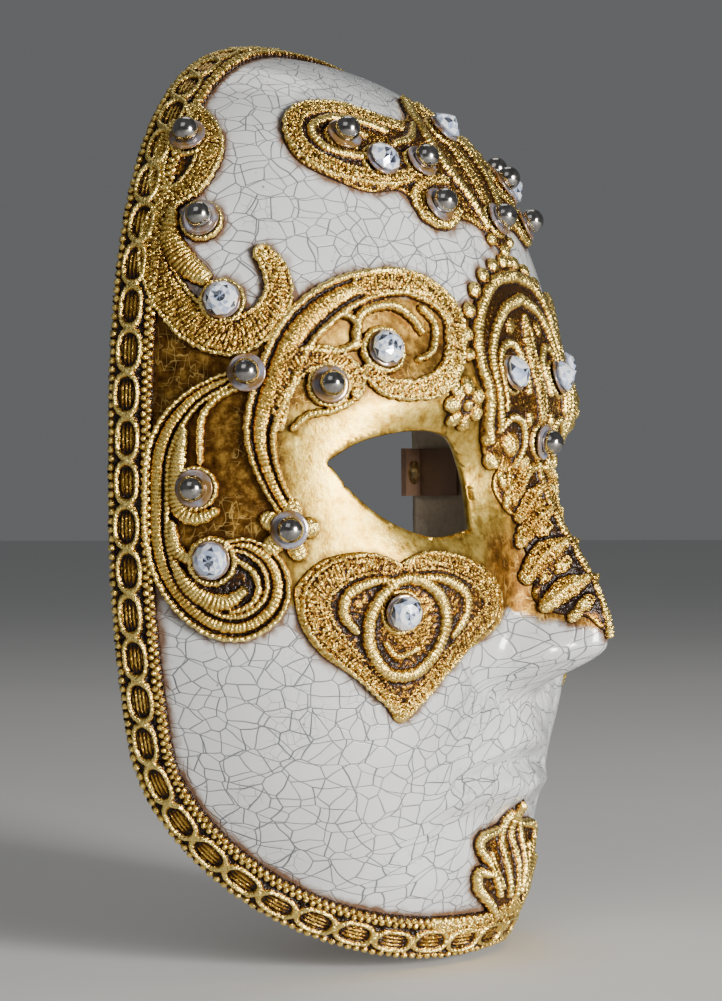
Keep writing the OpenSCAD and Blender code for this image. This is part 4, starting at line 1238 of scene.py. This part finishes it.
stones = {"right": [], "left": [], "centre": []}
for side, sign in SIDES.items():
    for key, (a, b, pointed) in SIDE_CRYSTALS.items():
        crystal(f"crystal_{key}_{side}", sign * a, b, pointed)
        stones[side].append((sign * a, b))
    for key, (a, b) in SIDE_DOMES.items():
        dome_stone(f"dome_{key}_{side}", sign * a, b)
        stones[side].append((sign * a, b))
crystal("crystal_crown_centre", 0, 54, True)
dome_stone("dome_crown_centre", 0, 37.6)
dome_stone("dome_shield_centre", 0, 8)
stones["centre"] += [(0, 54), (0, 37.6), (0, 8)]
for side, places in stones.items():
    parts = [disc_points(a, b) for a, b in places]
    points, near_rim = [np.concatenate([part[i] for part in parts]) for i in (0, 2)]
    faces = []
    for k, (p, disc_faces, _) in enumerate(parts):
        faces += [[v + k * len(p) for v in face] for face in disc_faces]
    o = mesh(f"stone_discs_{side}_clear", points, faces, [disc_mat], {"rim": near_rim})
    finish_piece(o, "disc", f"stone_discs_{side}")


# ---- Ribbon anchors keep their CAD shapes ----

def repaint(node, material):
    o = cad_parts[node]
    o.data.materials.clear()
    o.data.materials.append(material)


for side in SIDES:
    repaint(f"ribbon_tab_{side}", leather)
    repaint(f"ribbon_eyelet_{side}", brass)


# ---- Stage ----

FLOOR_GAP, FLOOR_SIZE = 1.5, 6000.0         # below the mask, and half its width, mm
SKY, SKY_STRENGTH = (0.80, 0.82, 0.85, 1), 0.16
LENS, CAMERA_ROLL = 92.1, -0.53             # mm and degrees
# In metres
CAMERA_AT = Vector((-0.6060, -0.3348, 0.0020))
CAMERA_AIM = Vector((-0.0059, -0.0278, 0.0018))


def floor():
    s = Shader("floor_paint")
    grain = s.noise(3, 4)
    s.set(Base_Color=s.mix(grain, (0.74, 0.73, 0.71), (0.80, 0.79, 0.77)))
    s.set(Roughness=s.band(grain, -1.5, 1.2))
    z = cad_box[0][2] / MM - FLOOR_GAP
    corners = [(x * FLOOR_SIZE, y * FLOOR_SIZE, z) for x, y in ((-1, -1), (1, -1), (1, 1), (-1, 1))]
    mesh("floor", corners, [(0, 1, 2, 3)], [s.m], smooth=False)


def lamp(name, at, aim, size, power, colour):
    data = bpy.data.lights.new(name, "AREA")
    data.shape = "RECTANGLE"
    data.size, data.size_y = size
    data.energy, data.color = power, colour
    o = bpy.data.objects.new(name, data)
    o.location = at
    o.rotation_euler = (Vector(aim) - Vector(at)).to_track_quat("-Z", "Y").to_euler()
    bpy.context.scene.collection.objects.link(o)


floor()
lamp("key", (-0.36, -1.12, 0.13), (-0.02, -0.04, 0.0), (0.30, 0.40), 26.0, (1.0, 0.98, 0.95))
lamp("fill", (-1.05, -0.10, 0.85), (0.0, -0.03, 0.0), (0.7, 0.7), 1.8, (0.95, 0.97, 1.0))
lamp("rim", (0.5, 0.2, 1.1), (0.0, -0.03, 0.0), (0.5, 0.5), 1.6, (1.0, 0.98, 0.95))
world = bpy.data.worlds.new("studio")
world.use_nodes = True
world.node_tree.nodes["Background"].inputs["Color"].default_value = SKY
world.node_tree.nodes["Background"].inputs["Strength"].default_value = SKY_STRENGTH
bpy.context.scene.world = world

camera = bpy.data.cameras.new("camera")
camera.lens = LENS
camera_object = bpy.data.objects.new("camera", camera)
bpy.context.scene.collection.objects.link(camera_object)
look = (CAMERA_AIM - CAMERA_AT).to_track_quat("-Z", "Y").to_matrix().to_4x4()
roll = Matrix.Rotation(math.radians(CAMERA_ROLL), 4, "Z")
camera_object.matrix_world = Matrix.Translation(CAMERA_AT) @ look @ roll
bpy.context.scene.camera = camera_object
